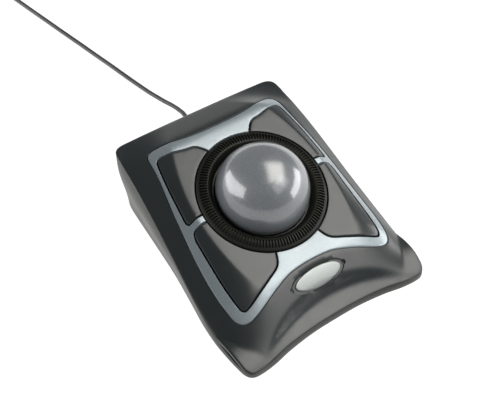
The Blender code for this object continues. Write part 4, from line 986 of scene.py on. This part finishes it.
def make_plug():
    """The plug's grip with finger ridges, and its folded metal shell with two latch windows."""
    stations = [(0.0, 4.2, 3.6), (0.5, 5.2, 4.6), (1.6, 6.2, 5.6), (4.0, 9.5, 6.4), (7.0, 13.4, 7.4)]
    for k in range(6):
        y = 8.0 + 1.9 * k
        stations += [(y, 15.4, 8.3), (y + 0.9, 15.6, 8.4), (y + 1.1, 14.8, 7.7), (y + 1.6, 14.8, 7.7)]
    stations += [(19.8, 15.6, 8.4), (25.2, 15.6, 8.4), (25.8, 15.2, 8.0), (26.0, 14.4, 7.2)]
    loops = [[plug_place(x, z, y) for x, z in rounded_rectangle((0, 0), (w, h), 0.28 * h, 5)]
             for y, w, h in stations]
    grip = add_piece("plug_grip", *stack(loops), "cord_rubber", stands_for=("usb_plug_grip",))
    outer = rounded_rectangle((0, 0), PLUG_OUTSIDE, 0.5, 4)
    inner = rounded_rectangle((0, 0), PLUG_INSIDE, 0.25, 4)
    levels = [(outer * 1.0, 26.3), (outer * 1.0, 44.8), (outer * (1 - 0.012), 45.0), (inner * 1.01, 45.0),
              (inner, 44.7), (inner, 27.0)]
    shell = add_piece("plug_shell", *stack([[plug_place(x, z, y) for x, z in loop] for loop, y in levels]),
                      "steel", stands_for=("usb_plug_shell",))
    windows = [prism(rectangle((side * 2.9, 37.5), PLUG_WINDOW), -3.0, 3.0,
                     lambda x, y, z: plug_place(x, z, y)) for side in (-1, 1)]
    combine(shell, windows, "DIFFERENCE")
    return [grip, shell]


# ---------------------------------------------------------------- studio
def soft_box(name, azimuth, elevation, distance, size, radiance, roll=0.0, colour=(1.0, 1.0, 1.0)):
    """A soft box seen from the object at an azimuth (0 is +X, 90 is +Y) and an elevation in degrees."""
    a, e = radians(azimuth), radians(elevation)
    direction = Vector((cos(a) * cos(e), sin(a) * cos(e), sin(e)))
    data = bpy.data.lights.new(name, "AREA")
    data.shape = "RECTANGLE"
    data.size, data.size_y = size
    data.energy = pi * radiance * size[0] * size[1]
    data.color = colour
    light = bpy.data.objects.new(name, data)
    across = Vector((-sin(a), cos(a), 0.0))
    upright = direction.cross(across)
    turn = Matrix((across, upright, direction)).transposed().to_4x4() @ Matrix.Rotation(radians(roll), 4, "Z")
    light.matrix_world = Matrix.Translation(direction * distance + RING_CENTRE * MM) @ turn
    bpy.context.scene.collection.objects.link(light)
    return light


def make_floor():
    """The pale floor, which gives light of its own so that it stays white."""
    half = 2.5
    mesh = bpy.data.meshes.new("floor")
    mesh.from_pydata([(-half, -half, 0), (half, -half, 0), (half, half, 0), (-half, half, 0)], [],
                     [(0, 1, 2, 3)])
    floor = bpy.data.objects.new("floor", mesh)
    bpy.context.scene.collection.objects.link(floor)
    n = Nodes("floor")
    n.link(n.mix(n.noise(3.0, 2.0), (0.18, 0.18, 0.18), (0.20, 0.20, 0.20)), n.shader.inputs["Base Color"])
    n.set(Roughness=0.9, Specular_IOR_Level=0.0, Emission_Color=(1.0, 1.0, 1.0, 1.0), Emission_Strength=0.93)
    mesh.materials.append(n.look)


def make_studio(unlit_from_left):
    """Floor, sky and soft boxes; the left box leaves out the given pieces."""
    make_floor()
    world = bpy.data.worlds.new("studio")
    world.use_nodes = True
    background = world.node_tree.nodes["Background"]
    background.inputs["Color"].default_value = (0.9, 0.95, 1.0, 1.0)
    background.inputs["Strength"].default_value = 0.26
    bpy.context.scene.world = world
    bpy.context.scene.view_settings.view_transform = "Standard"
    for k, share in enumerate((1.0, 0.8, 0.6)):
        soft_box(f"overhead_{k}", azimuth=-22.0, elevation=63.0, distance=1.4 - 0.01 * k,
                 size=(1.55 * share, 1.15 * share), radiance=1.9, colour=(1.0, 0.972, 0.925))
    soft_box("front_sky", azimuth=-60.0, elevation=44.0, distance=1.4, size=(1.1, 0.6), radiance=1.7)
    soft_box("right_panel", azimuth=-27.0, elevation=8.0, distance=1.0, size=(1.0, 0.32), radiance=6.0)
    left_panel = soft_box("left_panel", azimuth=150.0, elevation=13.0, distance=1.0, size=(1.4, 0.5),
                          radiance=5.0, roll=26.0)
    shaded = bpy.data.collections.new("unlit_from_left")
    for piece in unlit_from_left:
        shaded.objects.link(piece)
    for member in shaded.collection_objects:
        member.light_linking.link_state = "EXCLUDE"
    left_panel.light_linking.receiver_collection = shaded


def dress_frame():
    """A procedural look on every CAD node that still shows."""
    record = frame["record"]
    slots = {part["node"]: part["material_slot"] for part in record["subparts"]}
    for name, obj in frame["nodes"].items():
        obj.data.materials.clear()
        obj.data.materials.append(LOOKS[slots[name]])


# ---------------------------------------------------------------- the whole scene
make_camera()
LOOKS = make_looks()
lead = make_lead()
relief = make_relief()
tie = make_tie()
plug = make_plug()
upper_pieces = [make_cover(), *make_buttons(), make_bezel()]
make_case()
make_badge()
make_ring()
make_ball()
make_feet()
dress_frame()
make_studio(upper_pieces)
